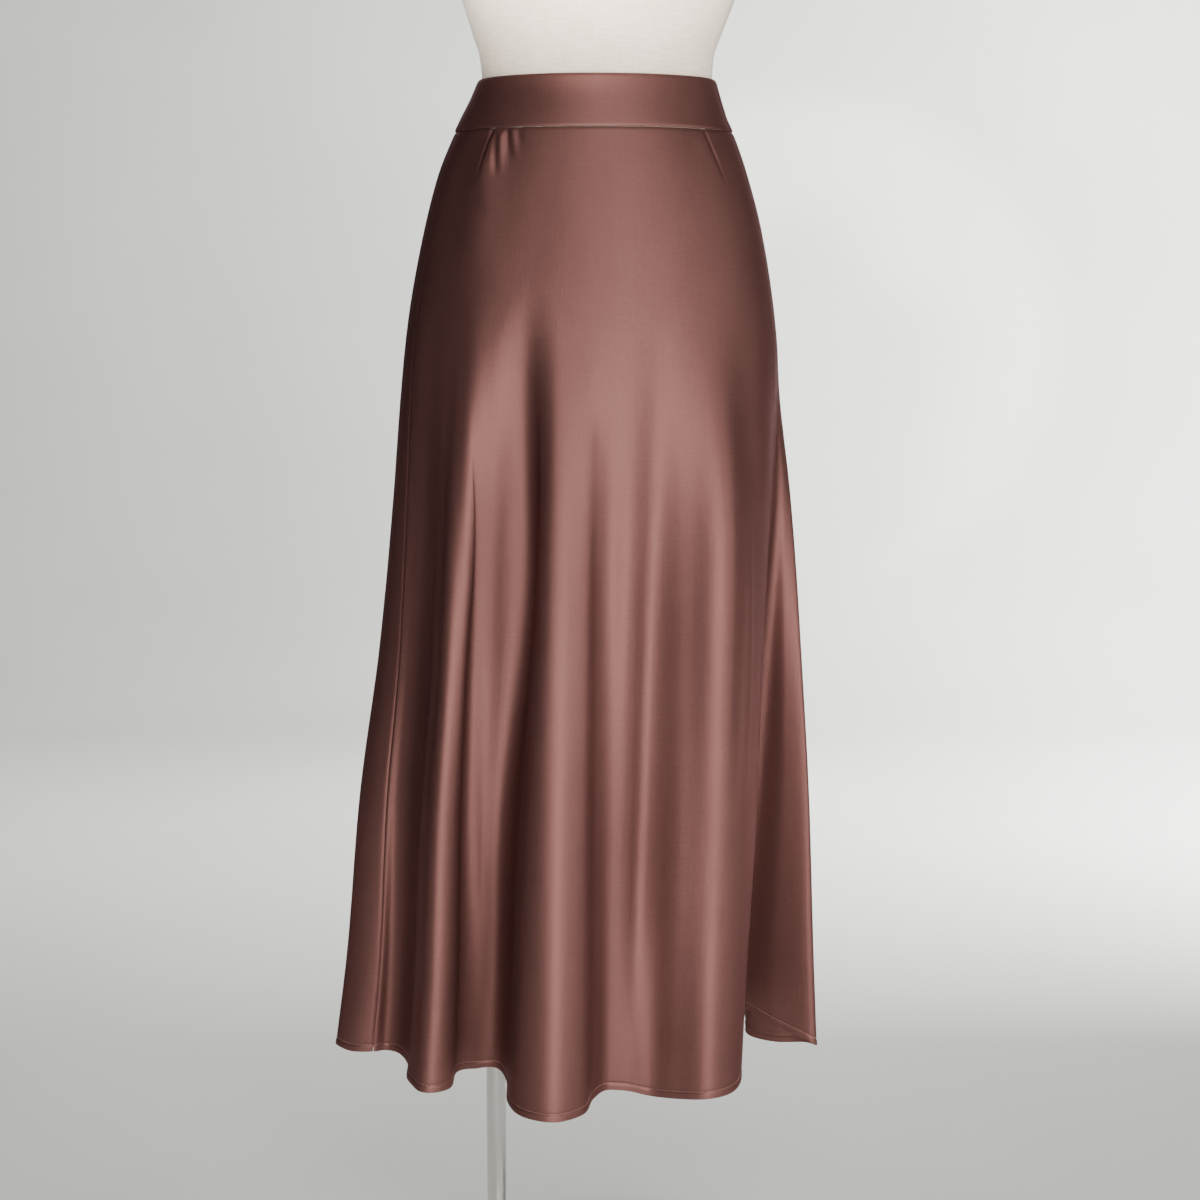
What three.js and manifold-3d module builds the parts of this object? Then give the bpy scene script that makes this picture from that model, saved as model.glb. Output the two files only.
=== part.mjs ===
// A maxi skirt hung on a limbless dress form with its pole and base.
// Millimetres, +Z up. The front faces -Y, so the wearer's left is at +X.
// The origin is the centre of the underside of the base, on the floor.

import * as THREE from 'three';
import { mergeVertices } from 'three/addons/utils/BufferGeometryUtils.js';
import Module from 'manifold-3d';

// Heights above the floor
const WAIST_TOP = 1165;
const BAND_HEIGHT = 47;
const HEM_HEIGHT = 231;
const BAND_SEAM = WAIST_TOP - BAND_HEIGHT;

// Cloth walls and the clearances between pieces
const CLOTH = 1.5;
const BAND_CLOTH = 2.6;
const SEAM_GAP = 0.3;
const FORM_GAP = 0.9;

// How finely the walls are divided
const FRONT_COLUMNS = 60;
const BACK_COLUMNS = 38;
const PANEL_ROWS = 16;
const ROW_CROWDING = 1.35;
const BAND_ROWS = 3;
const BAND_STEP_DEGREES = 7;
const HEM_SAMPLES = 24;

// How softly a fold leaves the hip: 0 is a sharp start
const FOLD_SOFTNESS = 0.1;

// Smooth outside of the skirt without its folds: half-widths to the left and the right in the
// front view, and half-depths to the front and the back
const SKIRT_SECTIONS = [
  { z: 231, left: 255, right: 221, front: 140, back: 155 },
  { z: 330, left: 242, right: 216.5, front: 138, back: 152 },
  { z: 481, left: 227.5, right: 211, front: 135, back: 148 },
  { z: 630, left: 206.5, right: 201, front: 132, back: 144 },
  { z: 775, left: 191.5, right: 189, front: 129, back: 141 },
  { z: 870, left: 183, right: 178, front: 127, back: 139 },
  { z: 926, left: 177, right: 173, front: 124, back: 137 },
  { z: 964, left: 171.5, right: 168.5, front: 121, back: 133 },
  { z: 1029, left: 158.5, right: 157, front: 113, back: 120 },
  { z: 1079, left: 145, right: 143.5, front: 105, back: 106 },
  { z: 1114, left: 130.5, right: 131, front: 97.5, back: 95.5 },
  { z: 1130, left: 122.5, right: 123, front: 94, back: 91 },
  { z: 1148, left: 113, right: 117, front: 90, back: 87 },
  { z: 1165, left: 106, right: 112.5, front: 87, back: 83 },
];

// Lines that run down the cloth from the hip to the hem, all the way round from the left seam
// over the front, the right and the back. angle: where the line leaves the hip, in degrees from
// the front centre towards +X. x and y: where it meets the hem. lift: the hem's height there above
// HEM_HEIGHT. start: the height where the fold begins
const FOLD_LINES = [
  { name: 'left seam', angle: -70, x: -217, y: -15, lift: 1, start: 960 },
  { name: 'left hollow', angle: -64, x: -206, y: -8, lift: 0, start: 960 },
  { name: 'left hollow floor', angle: -58.5, x: -194, y: -14, lift: 0, start: 970 },
  { name: 'fold A outer wall', angle: -53, x: -179, y: -56, lift: 2, start: 980 },
  { name: 'fold A outer edge', angle: -48, x: -177, y: -88, lift: 0, start: 980 },
  { name: 'fold A crest', angle: -41.5, x: -157, y: -119, lift: 0, start: 960 },
  { name: 'fold A inner edge', angle: -38, x: -137, y: -111, lift: 0, start: 930 },
  { name: 'fold A inner wall', angle: -35, x: -133, y: -76, lift: 4, start: 920 },
  { name: 'hollow AB', angle: -30, x: -116, y: -55, lift: 2, start: 930 },
  { name: 'hollow AB inner', angle: -25, x: -94, y: -60, lift: 2, start: 960 },
  { name: 'fold B outer wall', angle: -19.5, x: -83, y: -90, lift: 0, start: 980 },
  { name: 'fold B outer edge', angle: -15, x: -78, y: -144, lift: 0, start: 980 },
  { name: 'fold B shoulder', angle: -11, x: -61, y: -182, lift: 0, start: 970 },
  { name: 'fold B crest', angle: -7, x: -35, y: -196, lift: 0, start: 950 },
  { name: 'fold B inner edge', angle: -1.5, x: -10, y: -177, lift: 0, start: 940 },
  { name: 'fold B inner wall', angle: 2.5, x: -1, y: -138, lift: 0, start: 940 },
  { name: 'hollow BC', angle: 7, x: 12, y: -114, lift: 0, start: 940 },
  { name: 'panel C', angle: 15, x: 31, y: -115, lift: -1, start: 950 },
  { name: 'hollow CD', angle: 23, x: 51, y: -112, lift: -7, start: 960 },
  { name: 'fold D outer edge', angle: 30, x: 75, y: -125, lift: -5, start: 960 },
  { name: 'fold D crest', angle: 41, x: 107, y: -139, lift: 0, start: 950 },
  { name: 'fold D shoulder', angle: 51, x: 128, y: -124, lift: 0, start: 940 },
  { name: 'fold D inner edge', angle: 60, x: 140, y: -90, lift: 2, start: 930 },
  { name: 'fold D inner wall', angle: 68, x: 136, y: -50, lift: 8, start: 930 },
  { name: 'right seam', angle: 77, x: 120, y: -4, lift: 16, start: 930 },
  { name: 'right hollow', angle: 82, x: 123, y: 30, lift: 22, start: 930 },
  { name: 'right hollow floor', angle: 86, x: 140, y: 50, lift: 24, start: 930 },
  { name: 'right fold front', angle: 90, x: 181, y: 30, lift: 12, start: 930 },
  { name: 'right fold edge', angle: 95, x: 221, y: 12, lift: -2, start: 930 },
  { name: 'right fold back', angle: 100, x: 213, y: 46, lift: -11, start: 930 },
  { name: 'back hollow 1', angle: 106, x: 182, y: 62, lift: -16, start: 930 },
  { name: 'back hollow 1 inner', angle: 111, x: 158, y: 80, lift: -15, start: 920 },
  { name: 'back fold 1 outer', angle: 116, x: 158, y: 114, lift: -11, start: 920 },
  { name: 'back fold 1 crest', angle: 122, x: 153, y: 152, lift: -8, start: 920 },
  { name: 'back fold 1 inner', angle: 128, x: 126, y: 146, lift: -6, start: 920 },
  { name: 'back hollow 2', angle: 135, x: 106, y: 110, lift: -6, start: 920 },
  { name: 'back hollow 2 inner', angle: 142, x: 84, y: 114, lift: -6, start: 920 },
  { name: 'back fold 2 outer', angle: 149, x: 74, y: 152, lift: -6, start: 930 },
  { name: 'back fold 2 crest', angle: 158, x: 47, y: 187, lift: -6, start: 940 },
  { name: 'back fold 2 inner', angle: 167, x: 17, y: 167, lift: -6, start: 930 },
  { name: 'back hollow 3', angle: 174, x: 4, y: 130, lift: -6, start: 930 },
  { name: 'back seam', angle: 180, x: -18, y: 116, lift: -6, start: 930 },
  { name: 'back hollow 3 inner', angle: 187, x: -44, y: 127, lift: -6, start: 930 },
  { name: 'back fold 3 outer', angle: 194, x: -60, y: 163, lift: -6, start: 930 },
  { name: 'back fold 3 crest', angle: 203, x: -90, y: 189, lift: -6, start: 940 },
  { name: 'back fold 3 inner', angle: 211, x: -121, y: 160, lift: -6, start: 930 },
  { name: 'back hollow 4', angle: 219, x: -135, y: 116, lift: -6, start: 920 },
  { name: 'back hollow 4 inner', angle: 226, x: -158, y: 100, lift: -8, start: 920 },
  { name: 'back fold 4 outer', angle: 233, x: -182, y: 118, lift: -10, start: 930 },
  { name: 'back fold 4 crest', angle: 240, x: -207, y: 112, lift: -12, start: 940 },
  { name: 'back fold 4 inner', angle: 246, x: -206, y: 76, lift: -15, start: 940 },
  { name: 'back hollow 5', angle: 252, x: -206, y: 46, lift: -17, start: 950 },
  { name: 'left fold back', angle: 259, x: -240, y: 36, lift: -10, start: 960 },
  { name: 'left fold edge', angle: 268, x: -257, y: 12, lift: 0, start: 960 },
  { name: 'left fold front', angle: 280, x: -240, y: -10, lift: 0, start: 960 },
];

// Side seams and the back seam of the waistband, at the angles of the panels' seams
const LEFT_SEAM_ANGLE = -70;
const RIGHT_SEAM_ANGLE = 77;
const BACK_SEAM_ANGLE = 180;

// The form below the hip draws in under the cloth: height and how far inside the skirt's outside
const FORM_HIP_INSETS = [
  { z: 866, inset: 28 },
  { z: 872, inset: 19 },
  { z: 888, inset: 12.5 },
  { z: 912, inset: 8 },
  { z: 940, inset: 4.5 },
  { z: 970, inset: 2.8 },
];

// The form above the waist
const FORM_SECTIONS = [
  { z: 1184, left: 105, right: 111, front: 85.5, back: 81.5 },
  { z: 1208, left: 112, right: 119, front: 89, back: 84.5 },
  { z: 1240, left: 122, right: 131, front: 97, back: 90 },
  { z: 1290, left: 135, right: 143, front: 111, back: 98 },
  { z: 1340, left: 141, right: 149, front: 120, back: 104 },
  { z: 1395, left: 146, right: 153, front: 114, back: 108 },
  { z: 1445, left: 158, right: 164, front: 99, back: 105 },
  { z: 1480, left: 165, right: 171, front: 87, back: 96 },
  { z: 1505, left: 161, right: 167, front: 78, back: 85 },
  { z: 1525, left: 142, right: 148, front: 69, back: 74 },
  { z: 1542, left: 110, right: 116, front: 62, back: 64 },
  { z: 1555, left: 78, right: 84, front: 56, back: 57 },
  { z: 1570, left: 61, right: 67, front: 53, back: 53 },
  { z: 1612, left: 55, right: 61, front: 50, back: 50 },
];
const FORM_COLUMNS = 48;
const NECK_CENTRE_X = 3;

// The cap on the neck, as a turned profile
const CAP_RADIUS = 51;
const CAP_EDGE = 6;
const CAP_CROWN = 12;
const CAP_KNOB_RADIUS = 9;
const CAP_KNOB_HEIGHT = 16;

// The stand: the pole meets the form away from its centre
const POLE_X = -97;
const POLE_RADIUS = 9.5;
const SOCKET_RADIUS = 30;
const SOCKET_THICKNESS = 8;
const COLLAR_RADIUS = 16;
const COLLAR_HEIGHT = 28;
const BASE_RADIUS = 140;
const BASE_THICKNESS = 8;
const BASE_EDGE = 3;
const ROUND_SIDES = 48;
const POLE_SIDES = 24;
const JOINT_GAP = 0.3;

// The zip's slider and its pull tab, near the top of the back seam
const SLIDER = { width: 6, height: 10, thickness: 1.2, z: 1156.5 };
const LUG = { inner: 1.9, outer: 2.9, depth: 5.0, half: 1.7 };
const PIN_RADIUS = 0.7;
const PIN_STAND = 3.6;
const TAB = { eyeRadius: 1.6, eyeHole: 1.0, eyeHalf: 1.5, top: 1.2, end: 2.3, length: 21, thickness: 1.2 };

const radians = THREE.MathUtils.degToRad;
const wasm = await Module();
wasm.setup();

/** Smooth values between the rows of a table, which never pass beyond the rows' own values. */
function smoothTable(inputs, outputs) {
  const last = inputs.length - 1;
  const slopes = [];
  for (let i = 0; i < last; i += 1) {
    slopes.push((outputs[i + 1] - outputs[i]) / (inputs[i + 1] - inputs[i]));
  }
  const tangents = [slopes[0]];
  for (let i = 1; i < last; i += 1) {
    const product = slopes[i - 1] * slopes[i];
    tangents.push(product <= 0 ? 0 : (2 * product) / (slopes[i - 1] + slopes[i]));
  }
  tangents.push(slopes[last - 1]);
  return (input) => {
    const value = THREE.MathUtils.clamp(input, inputs[0], inputs[last]);
    let i = 0;
    while (i < last - 1 && value > inputs[i + 1]) {
      i += 1;
    }
    const width = inputs[i + 1] - inputs[i];
    const t = (value - inputs[i]) / width;
    const rise = t * t * (3 - 2 * t);
    const lead = t * (1 - t) * (1 - t) * tangents[i];
    const tail = t * t * (1 - t) * tangents[i + 1];
    return outputs[i] + rise * (outputs[i + 1] - outputs[i]) + width * (lead - tail);
  };
}

/** A smooth upright body of quarter ellipses, read from a table of sections. */
class Sections {
  constructor(rows) {
    const heights = rows.map((row) => row.z);
    const column = (key) => smoothTable(heights, rows.map((row) => row[key]));
    this.left = column('left');
    this.right = column('right');
    this.front = column('front');
    this.back = column('back');
  }

  /** The point at an angle from the front centre, moved out level by grow. */
  point(angle, z, grow = 0) {
    const sine = Math.sin(radians(angle));
    const cosine = Math.cos(radians(angle));
    const across = (sine >= 0 ? this.right(z) : this.left(z)) + grow;
    const along = (cosine >= 0 ? this.front(z) : this.back(z)) + grow;
    return new THREE.Vector3(across * sine, -along * cosine, z);
  }
}

/** The cloth's surface: smooth sections at the hip, and the fold lines below it. */
class Drape {
  constructor(sections, lines) {
    this.sections = sections;
    this.lines = lines;
    const points = lines.map((line) => new THREE.Vector3(line.x, line.y, line.lift));
    this.hem = new THREE.CatmullRomCurve3(points, true, 'centripetal');
    const samples = lines.length * HEM_SAMPLES;
    this.runs = [0];
    let previous = this.hem.getPoint(0);
    for (let i = 1; i <= samples; i += 1) {
      const next = this.hem.getPoint(i / samples);
      this.runs.push(this.runs[i - 1] + next.distanceTo(previous));
      previous = next;
    }
    this.length = this.runs[samples];
    const lineRuns = lines.map((line, i) => this.runs[i * HEM_SAMPLES]);
    const closedRuns = [...lineRuns, this.length];
    const turn = (angle) => (angle < LEFT_SEAM_ANGLE ? angle + 360 : angle);
    const angles = [...lines.map((line) => turn(line.angle)), LEFT_SEAM_ANGLE + 360];
    this.angle = smoothTable(closedRuns, angles);
    this.start = smoothTable(closedRuns, [...lines.map((line) => line.start), lines[0].start]);
  }

  /** The distance along the hem from the left seam to a named line. */
  run(name) {
    return this.runs[this.lines.findIndex((line) => line.name === name) * HEM_SAMPLES];
  }

  /** The hem's point at a distance along it, with the lift as its height. */
  hemPoint(run) {
    const wrapped = THREE.MathUtils.euclideanModulo(run, this.length);
    let i = 0;
    while (this.runs[i + 1] < wrapped) {
      i += 1;
    }
    const share = (wrapped - this.runs[i]) / (this.runs[i + 1] - this.runs[i]);
    return this.hem.getPoint((i + share) / (this.runs.length - 1));
  }

  /** The outside of the cloth at a distance along the hem and a share of the way down to it. */
  surface(run, down) {
    const wrapped = THREE.MathUtils.euclideanModulo(run, this.length);
    const hem = this.hemPoint(wrapped);
    const hemHeight = HEM_HEIGHT + hem.z;
    const z = THREE.MathUtils.lerp(BAND_SEAM, hemHeight, down);
    const angle = this.angle(wrapped);
    const start = this.start(wrapped);
    const share = THREE.MathUtils.clamp((start - z) / (start - hemHeight), 0, 1.05);
    const growth = (share * share * (1 + FOLD_SOFTNESS)) / (share + FOLD_SOFTNESS);
    const smooth = this.sections.point(angle, z);
    const smoothHem = this.sections.point(angle, hemHeight);
    smooth.x += growth * (hem.x - smoothHem.x);
    smooth.y += growth * (hem.y - smoothHem.y);
    return smooth;
  }

  /** The cloth's point, moved inwards by depth and along the hem by shift. */
  point(run, down, depth, shift) {
    const step = 0.5;
    const rise = 0.001;
    const along = this.surface(run + step, down).sub(this.surface(run - step, down)).normalize();
    const fall = this.surface(run, down + rise).sub(this.surface(run, down - rise)).normalize();
    const out = new THREE.Vector3().crossVectors(fall, along).normalize();
    const point = this.surface(run, down);
    point.addScaledVector(along, shift);
    return point.addScaledVector(out, -depth);
  }
}

/** A geometry from points and triangles that share them. */
function shell(points, triangles) {
  const geometry = new THREE.BufferGeometry().setFromPoints(points);
  geometry.setIndex(triangles.flat());
  return geometry;
}

/** A closed wall from a grid: pointAt(column, row, side) has side 0 outside and 1 inside. */
function wall(columns, rows, pointAt) {
  const points = [];
  for (let side = 0; side < 2; side += 1) {
    for (let row = 0; row <= rows; row += 1) {
      for (let column = 0; column <= columns; column += 1) {
        points.push(pointAt(column, row, side));
      }
    }
  }
  const at = (column, row, side) => (side * (rows + 1) + row) * (columns + 1) + column;
  const triangles = [];
  const quad = (a, b, c, d) => triangles.push([a, b, c], [a, c, d]);
  for (let row = 0; row < rows; row += 1) {
    for (let c = 0; c < columns; c += 1) {
      quad(at(c, row, 0), at(c, row + 1, 0), at(c + 1, row + 1, 0), at(c + 1, row, 0));
      quad(at(c, row, 1), at(c + 1, row, 1), at(c + 1, row + 1, 1), at(c, row + 1, 1));
    }
    quad(at(0, row, 0), at(0, row, 1), at(0, row + 1, 1), at(0, row + 1, 0));
    quad(at(columns, row, 1), at(columns, row, 0), at(columns, row + 1, 0), at(columns, row + 1, 1));
  }
  for (let c = 0; c < columns; c += 1) {
    quad(at(c, 0, 0), at(c + 1, 0, 0), at(c + 1, 0, 1), at(c, 0, 1));
    quad(at(c, rows, 1), at(c + 1, rows, 1), at(c + 1, rows, 0), at(c, rows, 0));
  }
  return shell(points, triangles);
}

/** A panel of the skirt between two named lines, a seam gap apart from its neighbours. */
function panel(drape, from, to, columns) {
  const first = drape.run(from);
  const last = to === 'left seam' ? drape.length : drape.run(to);
  const topGap = SEAM_GAP / 2 / (BAND_SEAM - HEM_HEIGHT);
  return wall(columns, PANEL_ROWS, (column, row, side) => {
    const share = (row / PANEL_ROWS) ** ROW_CROWDING;
    const down = topGap + (1 - topGap) * share;
    let shift = 0;
    if (column === 0) {
      shift = SEAM_GAP / 2;
    } else if (column === columns) {
      shift = -SEAM_GAP / 2;
    }
    const run = THREE.MathUtils.lerp(first, last, column / columns);
    const point = drape.point(run, down, side * CLOTH, shift);
    if (row === 0) {
      point.z = BAND_SEAM - SEAM_GAP / 2;
    }
    return point;
  });
}

/** A piece of the waistband between two angles. */
function band(sections, from, to) {
  const columns = Math.round((to - from) / BAND_STEP_DEGREES);
  return wall(columns, BAND_ROWS, (column, row, side) => {
    const angle = THREE.MathUtils.lerp(from, to, column / columns);
    const bottom = BAND_SEAM + SEAM_GAP / 2;
    const z = THREE.MathUtils.lerp(WAIST_TOP, bottom, row / BAND_ROWS);
    const grow = side === 1 ? -CLOTH : BAND_CLOTH - CLOTH;
    const point = sections.point(angle, z, grow);
    const along = sections.point(angle + 0.5, z).sub(sections.point(angle - 0.5, z)).normalize();
    if (column === 0) {
      point.addScaledVector(along, SEAM_GAP / 2);
    } else if (column === columns) {
      point.addScaledVector(along, -SEAM_GAP / 2);
    }
    return point;
  });
}

/** A closed body through level rings, each a function of the angle, with flat ends. */
function ringBody(rings) {
  const points = [];
  for (const ring of rings) {
    for (let i = 0; i < FORM_COLUMNS; i += 1) {
      points.push(ring((i * 360) / FORM_COLUMNS));
    }
  }
  const triangles = [];
  for (let row = 0; row + 1 < rings.length; row += 1) {
    for (let i = 0; i < FORM_COLUMNS; i += 1) {
      const next = (i + 1) % FORM_COLUMNS;
      const low = row * FORM_COLUMNS;
      const high = low + FORM_COLUMNS;
      triangles.push([low + i, low + next, high + next], [low + i, high + next, high + i]);
    }
  }
  const top = (rings.length - 1) * FORM_COLUMNS;
  const bottomCentre = points.length;
  points.push(new THREE.Vector3(NECK_CENTRE_X, 0, points[0].z));
  points.push(new THREE.Vector3(NECK_CENTRE_X, 0, points[top].z));
  for (let i = 0; i < FORM_COLUMNS; i += 1) {
    const next = (i + 1) % FORM_COLUMNS;
    triangles.push([bottomCentre, next, i], [bottomCentre + 1, top + i, top + next]);
  }
  return shell(points, triangles);
}

/** The torso of the form: it fills the waistband and the hip, and draws in below them. */
function torso(skirt) {
  const rings = [];
  for (const { z, inset } of FORM_HIP_INSETS) {
    rings.push((angle) => skirt.point(angle, z, -inset));
  }
  const fit = -CLOTH - FORM_GAP;
  const fitted = SKIRT_SECTIONS.map((row) => row.z).filter((z) => z > FORM_HIP_INSETS.at(-1).z);
  for (const z of fitted) {
    rings.push((angle) => skirt.point(angle, z, fit));
  }
  const upper = new Sections(FORM_SECTIONS);
  for (const { z } of FORM_SECTIONS) {
    rings.push((angle) => upper.point(angle, z));
  }
  return ringBody(rings);
}

/** A turned piece that stands along Z, from a profile of [radius, height] pairs. */
function turned(profile, sides) {
  const outline = profile.map(([radius, height]) => new THREE.Vector2(radius, height));
  return new THREE.LatheGeometry(outline, sides).rotateX(Math.PI / 2);
}

/** A solid for joining and cutting, from a geometry with shared corners. */
function solid(geometry) {
  const bare = geometry.clone();
  bare.deleteAttribute('normal');
  bare.deleteAttribute('uv');
  const merged = mergeVertices(bare);
  const mesh = new wasm.Mesh({
    numProp: 3,
    vertProperties: new Float32Array(merged.attributes.position.array),
    triVerts: new Uint32Array(merged.index.array),
  });
  return new wasm.Manifold(mesh);
}

/** The geometry of a joined solid. */
function fromSolid(joined) {
  const mesh = joined.getMesh();
  const geometry = new THREE.BufferGeometry();
  geometry.setAttribute('position', new THREE.BufferAttribute(mesh.vertProperties, 3));
  geometry.setIndex(new THREE.BufferAttribute(mesh.triVerts, 1));
  return geometry;
}

/** The zip's slider: a plate with two lugs and the pin that the tab hangs on. */
function slider() {
  const { width, height, thickness } = SLIDER;
  const plate = new THREE.BoxGeometry(width, thickness, height).translate(0, thickness / 2, 0);
  const pin = new THREE.CylinderGeometry(PIN_RADIUS, PIN_RADIUS, LUG.inner + LUG.outer, 16);
  pin.rotateZ(Math.PI / 2).translate(0, PIN_STAND, 0);
  let joined = solid(plate).add(solid(pin));
  for (const side of [-1, 1]) {
    const lug = new THREE.BoxGeometry(LUG.outer - LUG.inner, LUG.depth, 2 * LUG.half);
    lug.translate((side * (LUG.outer + LUG.inner)) / 2, thickness / 2 + LUG.depth / 2, 0);
    joined = joined.add(solid(lug));
  }
  return fromSolid(joined);
}

/** The pull tab, hanging from the pin's axis: an eye round the pin and a drop-shaped blade. */
function pullTab() {
  const eyeShape = new THREE.Shape().absarc(0, 0, TAB.eyeRadius, 0, 2 * Math.PI);
  eyeShape.holes.push(new THREE.Path().absarc(0, 0, TAB.eyeHole, 0, 2 * Math.PI, true));
  const eye = new THREE.ExtrudeGeometry(eyeShape, {
    depth: 2 * TAB.eyeHalf,
    bevelEnabled: false,
    curveSegments: 12,
  });
  eye.translate(0, 0, -TAB.eyeHalf).rotateY(Math.PI / 2);
  const neck = -(TAB.eyeRadius + TAB.eyeHole) / 2;
  const bladeShape = new THREE.Shape();
  bladeShape.moveTo(TAB.top, neck);
  bladeShape.lineTo(-TAB.top, neck);
  bladeShape.lineTo(-TAB.end, -TAB.length);
  bladeShape.absarc(0, -TAB.length, TAB.end, Math.PI, 2 * Math.PI);
  bladeShape.closePath();
  const blade = new THREE.ExtrudeGeometry(bladeShape, {
    depth: TAB.thickness,
    bevelEnabled: false,
    curveSegments: 10,
  });
  blade.translate(0, 0, -TAB.thickness / 2).rotateX(Math.PI / 2);
  return fromSolid(solid(eye).add(solid(blade)));
}

/** The slider and its tab, set square to the back of the waistband. */
function zip(sections) {
  const facet = BAND_HEIGHT / BAND_ROWS;
  const high = sections.point(BACK_SEAM_ANGLE, WAIST_TOP, BAND_CLOTH - CLOTH);
  const low = sections.point(BACK_SEAM_ANGLE, WAIST_TOP - facet, BAND_CLOTH - CLOTH);
  const group = new THREE.Group();
  const share = (WAIST_TOP - SLIDER.z) / facet;
  group.position.lerpVectors(high, low, share);
  group.rotation.x = Math.atan2(low.y - high.y, facet);
  const body = named('zip_slider', slider(), MATERIALS.zip);
  body.position.y = JOINT_GAP;
  const tab = named('zip_tab', pullTab(), MATERIALS.zip);
  tab.position.y = JOINT_GAP + PIN_STAND;
  group.add(body, tab);
  return group;
}

/** The cap that closes the neck of the form. */
function neckCap() {
  const base = FORM_SECTIONS.at(-1).z + JOINT_GAP;
  const profile = [
    [0, base],
    [CAP_RADIUS, base],
    [CAP_RADIUS, base + CAP_EDGE],
    [CAP_RADIUS * 0.8, base + CAP_CROWN * 0.85],
    [CAP_RADIUS * 0.45, base + CAP_CROWN],
    [CAP_KNOB_RADIUS * 0.7, base + CAP_CROWN + 2],
    [CAP_KNOB_RADIUS, base + CAP_CROWN + CAP_KNOB_HEIGHT * 0.5],
    [CAP_KNOB_RADIUS * 0.7, base + CAP_CROWN + CAP_KNOB_HEIGHT * 0.9],
    [0, base + CAP_CROWN + CAP_KNOB_HEIGHT],
  ];
  return turned(profile, ROUND_SIDES);
}

/** A plain disc or ring between two heights. */
function ring(inner, outer, low, high, sides) {
  const profile = [
    [inner, low],
    [outer, low],
    [outer, high],
    [inner, high],
    [inner, low],
  ];
  return turned(inner > 0 ? profile : profile.slice(0, 4), sides);
}

/** The base: a round plate with a softened upper edge. */
function basePlate() {
  const profile = [
    [0, 0],
    [BASE_RADIUS, 0],
    [BASE_RADIUS, BASE_THICKNESS - BASE_EDGE],
    [BASE_RADIUS - BASE_EDGE, BASE_THICKNESS],
    [0, BASE_THICKNESS],
  ];
  return turned(profile, ROUND_SIDES);
}

const MATERIALS = {
  satin: new THREE.MeshStandardMaterial({ color: 0x7d554e, roughness: 0.42, metalness: 0 }),
  zip: new THREE.MeshStandardMaterial({ color: 0x5c3d38, roughness: 0.4, metalness: 0.3 }),
  linen: new THREE.MeshStandardMaterial({ color: 0xd9cfc3, roughness: 0.9, metalness: 0 }),
  wood: new THREE.MeshStandardMaterial({ color: 0xb89a74, roughness: 0.5, metalness: 0 }),
  metal: new THREE.MeshStandardMaterial({ color: 0xbfbab2, roughness: 0.3, metalness: 0.9 }),
};

/** A mesh with its node's name. */
function named(name, geometry, material) {
  const mesh = new THREE.Mesh(geometry, material);
  mesh.name = name;
  return mesh;
}

/** The skirt's panels and waistband. */
function skirt(sections) {
  const drape = new Drape(sections, FOLD_LINES);
  const group = new THREE.Group();
  const satin = MATERIALS.satin;
  const full = 360;
  group.add(
    named('front_panel', panel(drape, 'left seam', 'right seam', FRONT_COLUMNS), satin),
    named('back_panel_left', panel(drape, 'right seam', 'back seam', BACK_COLUMNS), satin),
    named('back_panel_right', panel(drape, 'back seam', 'left seam', BACK_COLUMNS), satin),
    named('waistband_front', band(sections, LEFT_SEAM_ANGLE, RIGHT_SEAM_ANGLE), satin),
    named('waistband_back_left', band(sections, RIGHT_SEAM_ANGLE, BACK_SEAM_ANGLE), satin),
    named('waistband_back_right', band(sections, BACK_SEAM_ANGLE, LEFT_SEAM_ANGLE + full), satin),
  );
  return group;
}

/** The dress form, its pole and its base. */
function stand(sections) {
  const group = new THREE.Group();
  const formBottom = FORM_HIP_INSETS[0].z;
  const socketTop = formBottom - JOINT_GAP;
  const socketBottom = socketTop - SOCKET_THICKNESS;
  const floorTop = BASE_THICKNESS + JOINT_GAP;
  const socket = ring(0, SOCKET_RADIUS, socketBottom, socketTop, ROUND_SIDES);
  const pole = ring(0, POLE_RADIUS, floorTop, socketBottom - JOINT_GAP, POLE_SIDES);
  const collarInner = (POLE_RADIUS + JOINT_GAP) / Math.cos(Math.PI / POLE_SIDES);
  const collar = ring(collarInner, COLLAR_RADIUS, floorTop, floorTop + COLLAR_HEIGHT, POLE_SIDES);
  const cap = named('form_neck_cap', neckCap(), MATERIALS.wood);
  cap.position.x = NECK_CENTRE_X;
  const upright = new THREE.Group();
  upright.position.x = POLE_X;
  upright.add(
    named('form_socket', socket, MATERIALS.metal),
    named('stand_pole', pole, MATERIALS.metal),
    named('stand_collar', collar, MATERIALS.metal),
  );
  const base = named('stand_base', basePlate(), MATERIALS.metal);
  group.add(named('form_torso', torso(sections), MATERIALS.linen), cap, upright, base);
  return group;
}

const sections = new Sections(SKIRT_SECTIONS);
const group = new THREE.Group();
group.add(skirt(sections), zip(sections), stand(sections));

export default group;
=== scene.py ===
"""Looks of a satin maxi skirt that hangs on a linen dress form with its pole and base.

Tables are in millimetres in the frame of the model: +Z is up, the front faces -Y and the wearer's
left is at +X. Names that say left are at -X, as the front view shows it, but the back's panels,
bands and creases are named as seen from behind. Meshes are in metres.
"""

import logging
import math
from collections.abc import Callable, Iterator, Sequence
from contextlib import contextmanager
from dataclasses import dataclass, field
from enum import Enum
from typing import NamedTuple

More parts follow.
